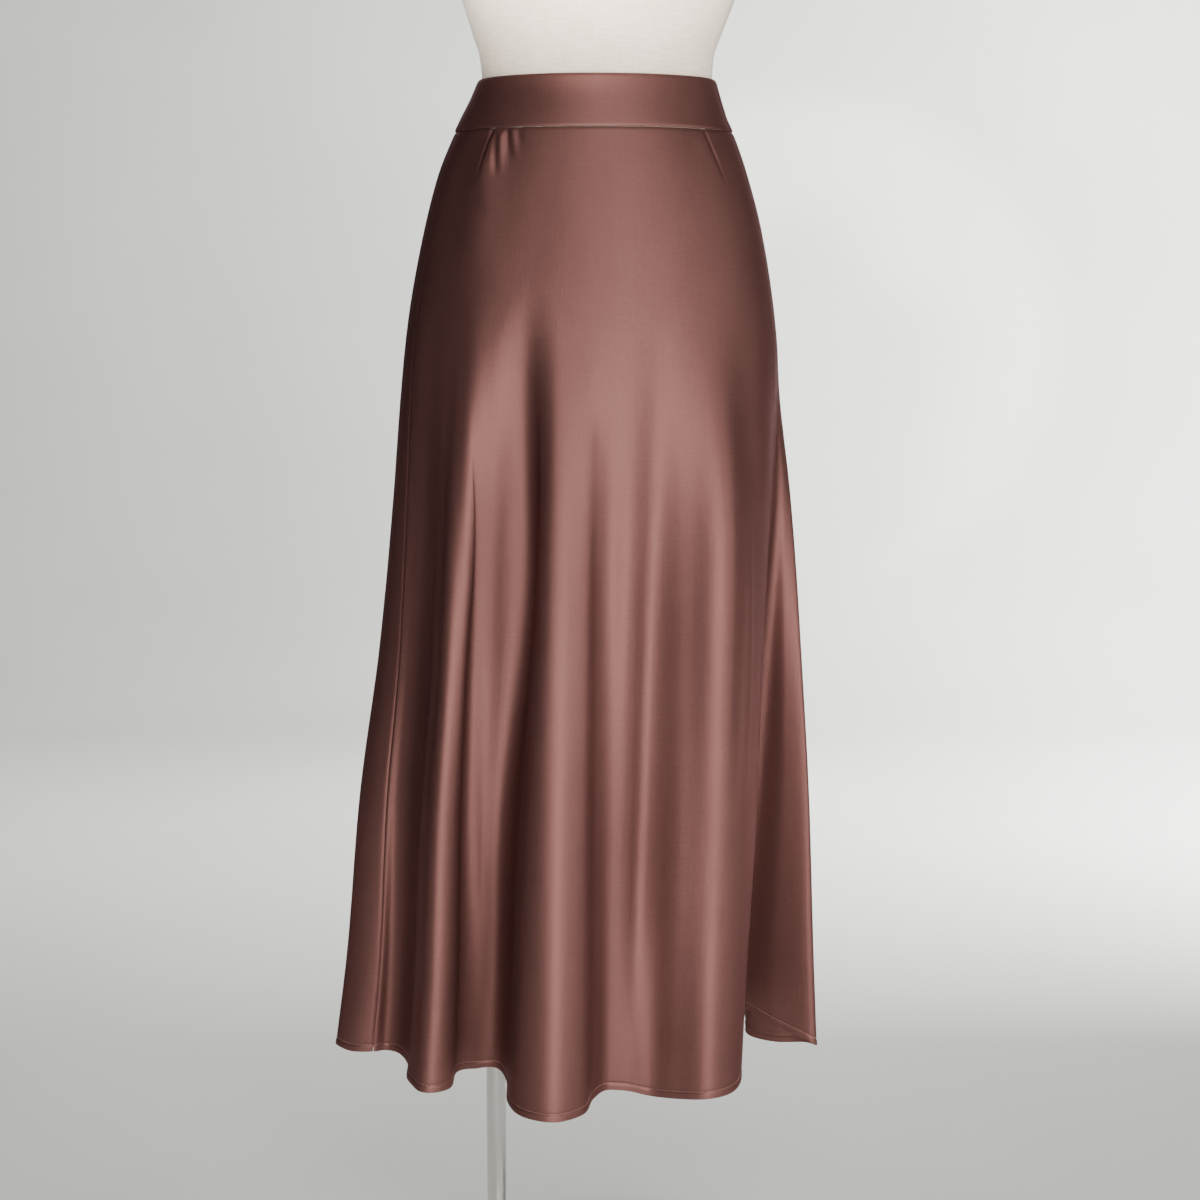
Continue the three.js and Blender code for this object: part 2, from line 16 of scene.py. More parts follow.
import bpy
import numpy as np
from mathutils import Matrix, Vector


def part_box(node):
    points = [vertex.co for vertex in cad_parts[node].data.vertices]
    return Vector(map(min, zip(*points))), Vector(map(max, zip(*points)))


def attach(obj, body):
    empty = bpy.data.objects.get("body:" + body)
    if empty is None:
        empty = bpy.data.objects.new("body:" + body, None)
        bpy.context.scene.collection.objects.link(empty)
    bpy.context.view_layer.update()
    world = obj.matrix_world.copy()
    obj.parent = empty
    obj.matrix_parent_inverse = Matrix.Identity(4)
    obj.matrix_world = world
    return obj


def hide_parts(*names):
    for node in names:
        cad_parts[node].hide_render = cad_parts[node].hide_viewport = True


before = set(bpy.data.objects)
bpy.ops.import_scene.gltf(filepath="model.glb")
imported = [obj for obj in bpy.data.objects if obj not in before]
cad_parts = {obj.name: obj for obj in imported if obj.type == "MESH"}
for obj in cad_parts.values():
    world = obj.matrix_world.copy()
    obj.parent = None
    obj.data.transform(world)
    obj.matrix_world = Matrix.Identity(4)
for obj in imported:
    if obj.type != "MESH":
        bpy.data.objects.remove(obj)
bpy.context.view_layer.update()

log = logging.getLogger("maxi_skirt")

MM = 0.001

WAIST_TOP = 1165.0
BAND_HEIGHT = 47.0
HEM_HEIGHT = 231.0
BAND_SEAM = WAIST_TOP - BAND_HEIGHT
FALL = BAND_SEAM - HEM_HEIGHT
SEAM_GAP = 0.3
CLOTH_WALL = 1.5
BAND_WALL = 2.6
FORM_GAP = 0.9
FOLD_SOFTNESS = 0.1
FOLD_OVERRUN = 1.05
HEM_SAMPLES = 24
RUN_SAMPLES = 4000

LEFT_SEAM_ANGLE = -70.0
RIGHT_SEAM_ANGLE = 77.0
BACK_SEAM_ANGLE = 180.0

Colour = tuple[float, float, float]
Place = tuple[float, float, float]
Surface = Callable[[np.ndarray, np.ndarray], np.ndarray]


class Slot(Enum):
    """Names of the material slots for the satin, the zip's metal, the linen, the cap's wood and the
    stand's metal.
    """

    SATIN = "satin"
    ZIP = "zip_metal"
    LINEN = "linen"
    WOOD = "cap_wood"
    STEEL = "stand_metal"


class Body(Enum):
    """Moving bodies that pieces ride on."""

    ROOT = "root"
    ZIP_PULL = "zip_pull"


class Section(NamedTuple):
    """Half-widths and half-depths of a level section at a height."""

    z: float
    left: float
    right: float
    front: float
    back: float


class FoldLine(NamedTuple):
    """A line down the cloth: its angle at the hip, its place at the hem, and where it starts."""

    name: str
    angle: float
    x: float
    y: float
    lift: float
    start: float


class Crease(NamedTuple):
    """A soft ridge (height above 0) or trough (below 0) between two points of the cloth.

    The fades are the shares of its length over which it grows and dies away.
    """

    name: str
    top_angle: float
    top_z: float
    end_angle: float
    end_z: float
    width: float
    height: float
    fade_in: float
    fade_out: float


class Wave(NamedTuple):
    """A faint wave of the cloth: its turns round it, its climb, its phase and its height."""

    turns: float
    climb: float
    phase: float
    size: float


class Inset(NamedTuple):
    """How far the torso draws in from the skirt's sections at a height."""

    z: float
    inset: float


class Turning(NamedTuple):
    """A step up the cap: its radius as a share of the last one, and its rise."""

    share: float
    rise: float


class StudioLight(NamedTuple):
    """An area light: where it stands, what it faces, its sides, its watts and its tint."""

    name: str
    place: Place
    target: Place
    width: float
    height: float
    power: float
    colour: Colour


SKIRT_SECTIONS = (
    Section(231, 255, 221, 140, 155),
    Section(330, 242, 216.5, 138, 152),
    Section(481, 227.5, 211, 135, 148),
    Section(630, 206.5, 201, 132, 144),
    Section(775, 191.5, 189, 129, 141),
    Section(870, 183, 178, 127, 139),
    Section(926, 177, 173, 124, 137),
    Section(964, 171.5, 168.5, 121, 133),
    Section(1029, 158.5, 157, 113, 120),
    Section(1079, 145, 143.5, 105, 106),
    Section(1114, 130.5, 131, 97.5, 95.5),
    Section(1130, 122.5, 123, 94, 91),
    Section(1148, 113, 117, 90, 87),
    Section(1165, 106, 112.5, 87, 83),
)

FOLD_LINES = (
    FoldLine("left seam", -70, -217, -15, 1, 960),
    FoldLine("left hollow", -64, -206, -8, 0, 960),
    FoldLine("left hollow floor", -58.5, -194, -14, 0, 970),
    FoldLine("fold A outer wall", -53, -179, -56, 2, 980),
    FoldLine("fold A outer edge", -48, -177, -88, 0, 980),
    FoldLine("fold A crest", -41.5, -157, -119, 0, 960),
    FoldLine("fold A inner edge", -38, -137, -111, 0, 930),
    FoldLine("fold A inner wall", -35, -133, -76, 4, 920),
    FoldLine("hollow AB", -30, -116, -55, 2, 930),
    FoldLine("hollow AB inner", -25, -94, -60, 2, 960),
    FoldLine("fold B outer wall", -19.5, -83, -90, 0, 980),
    FoldLine("fold B outer edge", -15, -78, -144, 0, 980),
    FoldLine("fold B shoulder", -11, -61, -182, 0, 970),
    FoldLine("fold B crest", -7, -35, -196, 0, 950),
    FoldLine("fold B inner edge", -1.5, -10, -177, 0, 940),
    FoldLine("fold B inner wall", 2.5, -1, -138, 0, 940),
    FoldLine("hollow BC", 7, 12, -114, 0, 940),
    FoldLine("panel C", 15, 31, -115, -1, 950),
    FoldLine("hollow CD", 23, 51, -112, -7, 960),
    FoldLine("fold D outer edge", 30, 75, -125, -5, 960),
    FoldLine("fold D crest", 41, 107, -139, 0, 950),
    FoldLine("fold D shoulder", 51, 128, -124, 0, 940),
    FoldLine("fold D inner edge", 60, 140, -90, 2, 930),
    FoldLine("fold D inner wall", 68, 136, -50, 8, 930),
    FoldLine("right seam", 77, 120, -4, 16, 930),
    FoldLine("right hollow", 82, 123, 30, 22, 930),
    FoldLine("right hollow floor", 86, 140, 50, 24, 930),
    FoldLine("right fold front", 90, 181, 30, 12, 930),
    FoldLine("right fold edge", 95, 221, 12, -2, 930),
    FoldLine("right fold back", 100, 213, 46, -11, 930),
    FoldLine("back hollow 1", 106, 182, 62, -16, 930),
    FoldLine("back hollow 1 inner", 111, 158, 80, -15, 920),
    FoldLine("back fold 1 outer", 116, 158, 114, -11, 920),
    FoldLine("back fold 1 crest", 122, 153, 152, -8, 920),
    FoldLine("back fold 1 inner", 128, 126, 146, -6, 920),
    FoldLine("back hollow 2", 135, 106, 110, -6, 920),
    FoldLine("back hollow 2 inner", 142, 84, 114, -6, 920),
    FoldLine("back fold 2 outer", 149, 74, 152, -6, 930),
    FoldLine("back fold 2 crest", 158, 47, 187, -6, 940),
    FoldLine("back fold 2 inner", 167, 17, 167, -6, 930),
    FoldLine("back hollow 3", 174, 4, 130, -6, 930),
    FoldLine("back seam", 180, -18, 116, -6, 930),
    FoldLine("back hollow 3 inner", 187, -44, 127, -6, 930),
    FoldLine("back fold 3 outer", 194, -60, 163, -6, 930),
    FoldLine("back fold 3 crest", 203, -90, 189, -6, 940),
    FoldLine("back fold 3 inner", 211, -121, 160, -6, 930),
    FoldLine("back hollow 4", 219, -135, 116, -6, 920),
    FoldLine("back hollow 4 inner", 226, -158, 100, -8, 920),
    FoldLine("back fold 4 outer", 233, -182, 118, -10, 930),
    FoldLine("back fold 4 crest", 240, -207, 112, -12, 940),
    FoldLine("back fold 4 inner", 246, -206, 76, -15, 940),
    FoldLine("back hollow 5", 252, -206, 46, -17, 950),
    FoldLine("left fold back", 259, -240, 36, -10, 960),
    FoldLine("left fold edge", 268, -257, 12, 0, 960),
    FoldLine("left fold front", 280, -240, -10, 0, 960),
)

CREASES = (
    Crease("left hip", -37, 1090, -37, 850, 12, 4.0, 0.5, 0.5),
    Crease("left dart", -44.5, 1121, -44.0, 1066, 0.9, -1.2, 0.05, 0.5),
    Crease("left dart's swell", -40.5, 1118, -41.0, 1058, 3.4, 2.0, 0.2, 0.6),
    Crease("left dart's end", -45.5, 1064, -38.0, 1030, 3.6, -1.0, 0.3, 0.5),
    Crease("first pucker", -41.0, 1112, -35.5, 1070, 1.2, -1.4, 0.15, 0.5),
    Crease("first pucker's ridge", -38.8, 1116, -33.5, 1074, 1.3, 1.3, 0.15, 0.5),
    Crease("second pucker", -37.0, 1118, -30.5, 1084, 1.2, -1.4, 0.15, 0.5),
    Crease("second pucker's ridge", -34.5, 1118, -28.5, 1086, 1.3, 1.2, 0.15, 0.5),
    Crease("third pucker", -31.5, 1120, -28.0, 1098, 1.2, -0.9, 0.1, 0.5),
    Crease("right dart", 50.0, 1121, 55.5, 1066, 0.9, -1.0, 0.05, 0.5),
    Crease("right dart's swell", 46.0, 1118, 51.5, 1060, 4.0, 0.8, 0.2, 0.6),
    Crease("fold A's shoulder", -43.0, 920, -41.0, 231, 2.8, 4.5, 0.5, 0),
    Crease("fold A's start", -36.5, 990, -38.0, 600, 6.0, 7.0, 0.4, 0.5),
    Crease("fold A's groove", -34.8, 830, -32.5, 300, 2.5, -2.4, 0.5, 0.5),
    Crease("step AB", -27.0, 800, -30.5, 231, 4.8, 9.0, 0.7, 0),
    Crease("hollow AB's wall", -18.6, 980, -24.2, 430, 5.4, -21.0, 0.5, 0.5),
    Crease("hip's front", -42.0, 1126, -40.0, 960, 7.5, 4.0, 0.3, 0.6),
    Crease("fold B's shoulder", -10.0, 940, -12.0, 231, 3.6, 3.5, 0.5, 0),
    Crease("hollow BC's start", 5.6, 900, 5.0, 500, 4.0, -4.2, 0.5, 0.6),
    Crease("ridge C", 10.0, 860, 9.0, 231, 4.0, 1.4, 0.6, 0),
    Crease("hollow CD", 19.6, 980, 17.0, 231, 5.2, -12.0, 0.45, 0.3),
    Crease("fold D's crest", 39.5, 970, 41.5, 380, 9.0, 17.0, 0.4, 0.6),
    Crease("fold D's groove", 46.0, 800, 46.0, 440, 1.9, -2.2, 0.4, 0.5),
    Crease("fold D's rib", 52.0, 830, 50.5, 450, 2.4, 2.6, 0.4, 0.5),
    Crease("right hollow", 84.5, 780, 84.5, 231, 3.4, -9.0, 0.6, 0),
    Crease("back right dart", 222.0, 1120, 220.0, 1010, 1.0, -0.8, 0.05, 0.5),
    Crease("back left dart", 138.0, 1120, 140.0, 1010, 1.0, -0.8, 0.05, 0.5),
    Crease("back pucker", 146.0, 1116, 150.0, 1078, 1.3, -0.7, 0.15, 0.5),
    Crease("back left step", 139.0, 900, 137.0, 231, 3.6, 7.0, 0.4, 0),
    Crease("back left groove", 150.0, 880, 151.0, 420, 2.4, -3.6, 0.4, 0.5),
    Crease("back middle ridge", 183.0, 860, 184.0, 231, 3.2, 4.0, 0.4, 0),
    Crease("back right groove", 209.0, 890, 210.0, 400, 2.4, -3.6, 0.4, 0.5),
    Crease("back right step", 224.0, 880, 225.0, 231, 3.6, 6.0, 0.4, 0),
)


class SmoothTable:
    """Smooth values between the rows of a table, never beyond the rows' own values."""

    def __init__(self, inputs: Sequence[float], outputs: Sequence[float]) -> None:
        """Work out the slope at each row.

        Args:
            inputs: rising places of the rows.
            outputs: value at each row.
        """
        self.inputs = np.array(inputs, float)
        self.outputs = np.array(outputs, float)
        slopes = np.diff(self.outputs) / np.diff(self.inputs)
        product = slopes[:-1] * slopes[1:]
        total = slopes[:-1] + slopes[1:]
        turning = product <= 0
        middle = np.where(turning, 0.0, 2 * product / np.where(turning, 1.0, total))
        self.tangents = np.concatenate([slopes[:1], middle, slopes[-1:]])

    def __call__(self, places: np.ndarray) -> np.ndarray:
        """Read the table.

        Args:
            places: where to read it.

        Returns:
            The smooth values there.
        """
        value = np.clip(places, self.inputs[0], self.inputs[-1])
        low = np.clip(np.searchsorted(self.inputs, value) - 1, 0, len(self.inputs) - 2)
        width = self.inputs[low + 1] - self.inputs[low]
        t = (value - self.inputs[low]) / width
        rise = t * t * (3 - 2 * t) * (self.outputs[low + 1] - self.outputs[low])
        lead = t * (1 - t) ** 2 * self.tangents[low]
        tail = t * t * (1 - t) * self.tangents[low + 1]
        return self.outputs[low] + rise + width * (lead - tail)


class Sections:
    """A smooth upright body of quarter ellipses, read from a table of sections."""

    def __init__(self, rows: Sequence[Section]) -> None:
        """Make a smooth table for each half-size.

        Args:
            rows: the sections, lowest first.
        """
        heights, *sides = zip(*rows)
        self.left, self.right, self.front, self.back = (SmoothTable(heights, side) for side in sides)

    def point(self, angle: np.ndarray, z: np.ndarray, grow: np.ndarray | float = 0.0) -> np.ndarray:
        """Points at angles from the front centre, moved out level.

        Args:
            angle: degrees from the front centre towards +X.
            z: heights.
            grow: how far out the points move.

        Returns:
            Points, with x, y and z along the last axis.
        """
        sine = np.sin(np.radians(angle))
        cosine = np.cos(np.radians(angle))
        across = np.where(sine >= 0, self.right(z), self.left(z)) + grow
        along = np.where(cosine >= 0, self.front(z), self.back(z)) + grow
        return np.stack([across * sine, -along * cosine, z + 0.0 * sine], axis=-1)


class Drape:
    """The cloth's surface: smooth sections at the hip, and the fold lines below it."""

    def __init__(self, sections: Sections, lines: Sequence[FoldLine]) -> None:
        """Measure the hem and spread the lines' angles along it.

        Args:
            sections: the skirt without its folds.
            lines: the fold lines all the way round, from the left seam.
        """
        self.sections = sections
        self.lines = lines
        self.corners = np.array([[line.x, line.y, line.lift] for line in lines], float)
        samples = len(lines) * HEM_SAMPLES
        track = self._hem_curve(np.arange(samples + 1) / HEM_SAMPLES)
        steps = np.linalg.norm(np.diff(track, axis=0), axis=1)
        self.runs = np.concatenate([[0.0], np.cumsum(steps)])
        self.length = float(self.runs[-1])
        closed = np.append(self.runs[::HEM_SAMPLES][: len(lines)], self.length)
        angles = [line.angle + (360 if line.angle < LEFT_SEAM_ANGLE else 0) for line in lines]
        self.angle = SmoothTable(closed, [*angles, LEFT_SEAM_ANGLE + 360])
        self.start = SmoothTable(closed, [*(line.start for line in lines), lines[0].start])

    def _hem_curve(self, place: np.ndarray) -> np.ndarray:
        """Read the closed curve through the lines' hem points.

        Args:
            place: the number of the line, with its share of the way to the next.

        Returns:
            Points of x, y and lift.
        """
        count = len(self.corners)
        low = np.floor(place).astype(int)
        t = (place - low)[..., None]
        p0, p1, p2, p3 = (self.corners[(low + step) % count] for step in (-1, 0, 1, 2))
        pairs = ((p0, p1), (p1, p2), (p2, p3))
        gap0, gap1, gap2 = (np.sqrt(np.linalg.norm(b - a, axis=-1))[..., None] for a, b in pairs)
        lead = gap1 * ((p1 - p0) / gap0 - (p2 - p0) / (gap0 + gap1) + (p2 - p1) / gap1)
        tail = gap1 * ((p2 - p1) / gap1 - (p3 - p1) / (gap1 + gap2) + (p3 - p2) / gap2)
        square = 3 * (p2 - p1) - 2 * lead - tail
        cube = 2 * (p1 - p2) + lead + tail
        return p1 + lead * t + square * t**2 + cube * t**3

    def run(self, name: str) -> float:
        """Distance along the hem from the left seam to a named line."""
        names = [line.name for line in self.lines]
        return float(self.runs[names.index(name) * HEM_SAMPLES])

    def run_at(self, angle: float) -> float:
        """Distance along the hem to the line that leaves the hip at an angle."""
        tries = np.linspace(0, self.length, RUN_SAMPLES)
        return float(np.interp(angle, self.angle(tries), tries))

    def surface(self, run: np.ndarray, down: np.ndarray) -> np.ndarray:
        """Points on the outside of the cloth, without its creases.

        Args:
            run: distances along the hem from the left seam.
            down: shares of the way from the waistband's seam to the hem.

        Returns:
            Points in millimetres.
        """
        wrapped = np.mod(run, self.length)
        place = np.interp(wrapped, self.runs, np.arange(len(self.runs)) / HEM_SAMPLES)
        hem = self._hem_curve(place)
        hem_height = HEM_HEIGHT + hem[..., 2]
        z = BAND_SEAM + (hem_height - BAND_SEAM) * down
        angle = self.angle(wrapped)
        start = self.start(wrapped)
        share = np.clip((start - z) / (start - hem_height), 0, FOLD_OVERRUN)
        growth = share * share * (1 + FOLD_SOFTNESS) / (share + FOLD_SOFTNESS)
        point = self.sections.point(angle, z)
        smooth_hem = self.sections.point(angle, hem_height)
        point[..., :2] += growth[..., None] * (hem[..., :2] - smooth_hem[..., :2])
        return point

    def outward(self, run: np.ndarray, down: np.ndarray) -> np.ndarray:
        """Unit vectors that point out of the cloth.

        Args:
            run: distances along the hem.
            down: shares of the way down.

        Returns:
            Unit vectors.
        """
        step, rise = 0.5, 0.001
        along = self.surface(run + step, down) - self.surface(run - step, down)
        fall = self.surface(run, down + rise) - self.surface(run, down - rise)
        out = np.cross(fall, along)
        return out / np.linalg.norm(out, axis=-1, keepdims=True)


class Relief:
    """The creases and the faint unevenness that lie on the cloth's main folds."""

    WAVES = (
        Wave(5.1, 0.9, 0.3, 0.30),
        Wave(8.7, -0.7, 1.9, 0.22),
        Wave(13.3, 1.6, 4.1, 0.14),
        Wave(3.2, 2.9, 2.6, 0.20),
        Wave(19.0, -2.3, 5.3, 0.07),
    )
    CLIMB_LENGTH = 170
    FREE_LENGTH = 260
    LEAST_FREE = 0.25

    @classmethod
    def height(cls, angle: np.ndarray, z: np.ndarray, creases: Sequence[Crease]) -> np.ndarray:
        """How far the cloth stands out from its main folds.

        Args:
            angle: hip angles of the points, in degrees.
            z: heights of the points.
            creases: ridges and troughs to add.

        Returns:
            Heights in millimetres.
        """
        total = np.zeros_like(z)
        for crease in creases:
            reach = crease.top_z - crease.end_z
            share = (crease.top_z - z) / reach
            line = crease.top_angle + share * (crease.end_angle - crease.top_angle)
            across = np.exp(-(((angle - line) / crease.width) ** 2))
            along = np.clip(share / crease.fade_in, 0, 1)
            if crease.fade_out:
                along = along * np.clip((1 - share) / crease.fade_out, 0, 1)
            along = along * along * (3 - 2 * along)
            total += crease.height * across * along
        free = np.clip((WAIST_TOP - z) / cls.FREE_LENGTH, cls.LEAST_FREE, 1)
        for wave in cls.WAVES:
            climb = wave.climb * z / cls.CLIMB_LENGTH
            total += free * wave.size * np.sin(np.radians(angle) * wave.turns + climb + wave.phase)
        return total


def deselect() -> None:
    """Leave nothing selected, in object mode."""
    bpy.ops.object.select_all(action="DESELECT")


def activate(piece: bpy.types.Object) -> None:
    """Select one piece alone and make it active.

    Args:
        piece: the piece.
    """
    deselect()
    piece.select_set(True)
    bpy.context.view_layer.objects.active = piece


def named(name: str) -> bpy.types.Object:
    """Name the piece that was just added and its mesh.

    Args:
        name: the name for both.

    Returns:
        The piece.
    """
    piece = bpy.context.object
    piece.name = name
    piece.data.name = name
    return piece


def settle(piece: bpy.types.Object) -> None:
    """Put the piece's place, turn and scale into its mesh."""
    activate(piece)
    bpy.ops.object.transform_apply(location=True, rotation=True, scale=True)


@contextmanager
def editing(piece: bpy.types.Object) -> Iterator[None]:
    """Open a piece's mesh for editing with all of it selected, and close it after.

    Args:
        piece: the piece.

    Returns:
        Nothing while the mesh is open.
    """
    activate(piece)
    bpy.ops.object.mode_set(mode="EDIT")
    bpy.ops.mesh.select_all(action="SELECT")
    yield
    bpy.ops.object.mode_set(mode="OBJECT")


def cleared(piece: bpy.types.Object) -> None:
    """Leave none of a piece's mesh selected."""
    with editing(piece):
        bpy.ops.mesh.select_all(action="DESELECT")


def cylinder(
    name: str, radius: float, depth: float, centre: Place, sides: int = 96, ends: str = "NGON"
) -> bpy.types.Object:
    """Add an upright cylinder with its place in its mesh.

    Args:
        name: the piece's name.
        radius: in metres.
        depth: its height, in metres.
        centre: its middle, in metres.
        sides: how many sides it has.
        ends: NGON for flat ends, or NOTHING for open ones.

    Returns:
        The piece.
    """
    deselect()
    bpy.ops.mesh.primitive_cylinder_add(
        vertices=sides, radius=radius, depth=depth, end_fill_type=ends, location=centre
    )
    piece = named(name)
    settle(piece)
    return piece


def smoothed(piece: bpy.types.Object, angle: float) -> None:
    """Shade the piece smooth, but for edges sharper than an angle in degrees."""
    activate(piece)
    bpy.ops.object.shade_smooth_by_angle(angle=math.radians(angle))


def bevelled(
    piece: bpy.types.Object, width: float, segments: int, angle: float, smooth: float = 40.0
) -> None:
    """Round the piece's sharp edges and shade it smooth.

    Args:
        piece: what to round.
        width: how wide the rounding is, in metres.
        segments: how many faces it has.
        angle: the least angle between faces that counts as an edge, in degrees.
        smooth: the least angle between faces that still shows as an edge, in degrees.
    """
    activate(piece)
    bevel = piece.modifiers.new("edge", "BEVEL")
    bevel.width = width
    bevel.segments = segments
    bevel.limit_method = "ANGLE"
    bevel.angle_limit = math.radians(angle)
    bpy.ops.object.modifier_apply(modifier=bevel.name)
    smoothed(piece, smooth)


def finished(
    piece: bpy.types.Object, material: bpy.types.Material, body: Body = Body.ROOT
) -> bpy.types.Object:
    """Give a piece its material and body.

    Args:
        piece: the finished mesh.
        material: what it is dressed in.
        body: what it moves with.

    Returns:
        The same piece.
    """
    piece.data.materials.clear()
    piece.data.materials.append(material)
    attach(piece, body.value)
    log.info("%s: %d faces on %s", piece.name, len(piece.data.polygons), body.value)
    return piece


def graded(
    low: float, high: float, coarse: float, fine: float, spots: Sequence[float], widening: float = 0.22
) -> np.ndarray:
    """Places between two ends that crowd together near given spots.

    Args:
        low: the first place.
        high: the last place.
        coarse: the widest step.
        fine: the step at a spot.
        spots: where the steps are fine.
        widening: how much a step grows for each unit away from a spot.

    Returns:
        Rising places, both ends among them.
    """
    places = [low]
    while places[-1] < high:
        near = min(abs(places[-1] - spot) for spot in spots)
        places.append(places[-1] + min(coarse, fine + widening * near))
    track = np.array(places)
    return low + (track - low) * (high - low) / (track[-1] - low)


def vertex_points(mesh: bpy.types.Mesh) -> np.ndarray:
    """Read a mesh's vertices.

    Args:
        mesh: the mesh.

    Returns:
        A row of x, y and z for each vertex.
    """
    flat = np.empty(len(mesh.vertices) * 3)
    mesh.vertices.foreach_get("co", flat)
    return flat.reshape(-1, 3)


def sheet_from_grid(
    name: str, across: np.ndarray, down: np.ndarray, place: Surface, scale: tuple[float, float]
) -> bpy.types.Object:
    """Add a grid and lay it on a surface, with its own measures in its UV map.

    Args:
        name: the piece's name.
        across: places of the columns, from the wearer's right to the left at the front.
        down: places of the rows, from the top to the bottom.
        place: gives points in millimetres for the columns' and the rows' places.
        scale: metres for one unit of across and of down, for the UV map.

    Returns:
        A single sheet that faces outwards.
    """
    deselect()
    columns, rows = len(across) - 1, len(down) - 1
    bpy.ops.mesh.primitive_grid_add(x_subdivisions=columns, y_subdivisions=rows, size=1)
    piece = named(name)
    mesh = piece.data
    flat = vertex_points(mesh)
    column = np.rint((flat[:, 0] + 0.5) * columns).astype(int)
    row = np.rint((0.5 - flat[:, 1]) * rows).astype(int)
    points = place(across[column], down[row]) * MM
    mesh.vertices.foreach_set("co", points.ravel())
    loops = np.empty(len(mesh.loops), int)
    mesh.loops.foreach_get("vertex_index", loops)
    measures = np.stack([across[column] * scale[0], -down[row] * scale[1]], axis=-1)
    mesh.uv_layers.active.data.foreach_set("uv", measures[loops].ravel())
    mesh.update()
    return piece


def thickened(piece: bpy.types.Object, thickness: float) -> None:
    """Give a sheet its wall, inwards from its outside.

    Args:
        piece: the sheet.
        thickness: the wall's, in metres.
    """
    activate(piece)
    wall = piece.modifiers.new("wall", "SOLIDIFY")
    wall.thickness = thickness
    wall.offset = -1
    wall.use_rim = True
    bpy.ops.object.modifier_apply(modifier=wall.name)


class Wire:
    """A shader socket that takes part in Python arithmetic on values."""

    def __init__(self, shader: "Shader", socket: bpy.types.NodeSocket) -> None:
        """Keep the socket and the shader that it is in."""
        self.shader = shader
        self.socket = socket

    def _math(self, operation: str, *others: "Wire | float", clamp: bool = False) -> "Wire":
        """Add a Math node on this value and others.

        Args:
            operation: the node's operation.
            others: the values that follow this one.
            clamp: whether the result is kept from 0 to 1.

        Returns:
            The node's value.
        """
        settings = {"operation": operation, "use_clamp": clamp}
        return self.shader.node("ShaderNodeMath", settings, dict(enumerate((self, *others))))

    def __add__(self, other: "Wire | float") -> "Wire":
        """Sum."""
        return self._math("ADD", other)

    __radd__ = __add__

    def __mul__(self, other: "Wire | float") -> "Wire":
        """Product."""
        return self._math("MULTIPLY", other)

    __rmul__ = __mul__

    def __sub__(self, other: "Wire | float") -> "Wire":
        """Difference."""
        return self._math("SUBTRACT", other)

    def __rsub__(self, other: float) -> "Wire":
        """Difference from a number."""
        return self._math("MULTIPLY", -1.0)._math("ADD", other)

    def __pow__(self, other: float) -> "Wire":
        """Power."""
        return self._math("POWER", other)

    def clamped(self) -> "Wire":
        """This value kept from 0 to 1."""
        return self._math("ADD", 0.0, clamp=True)


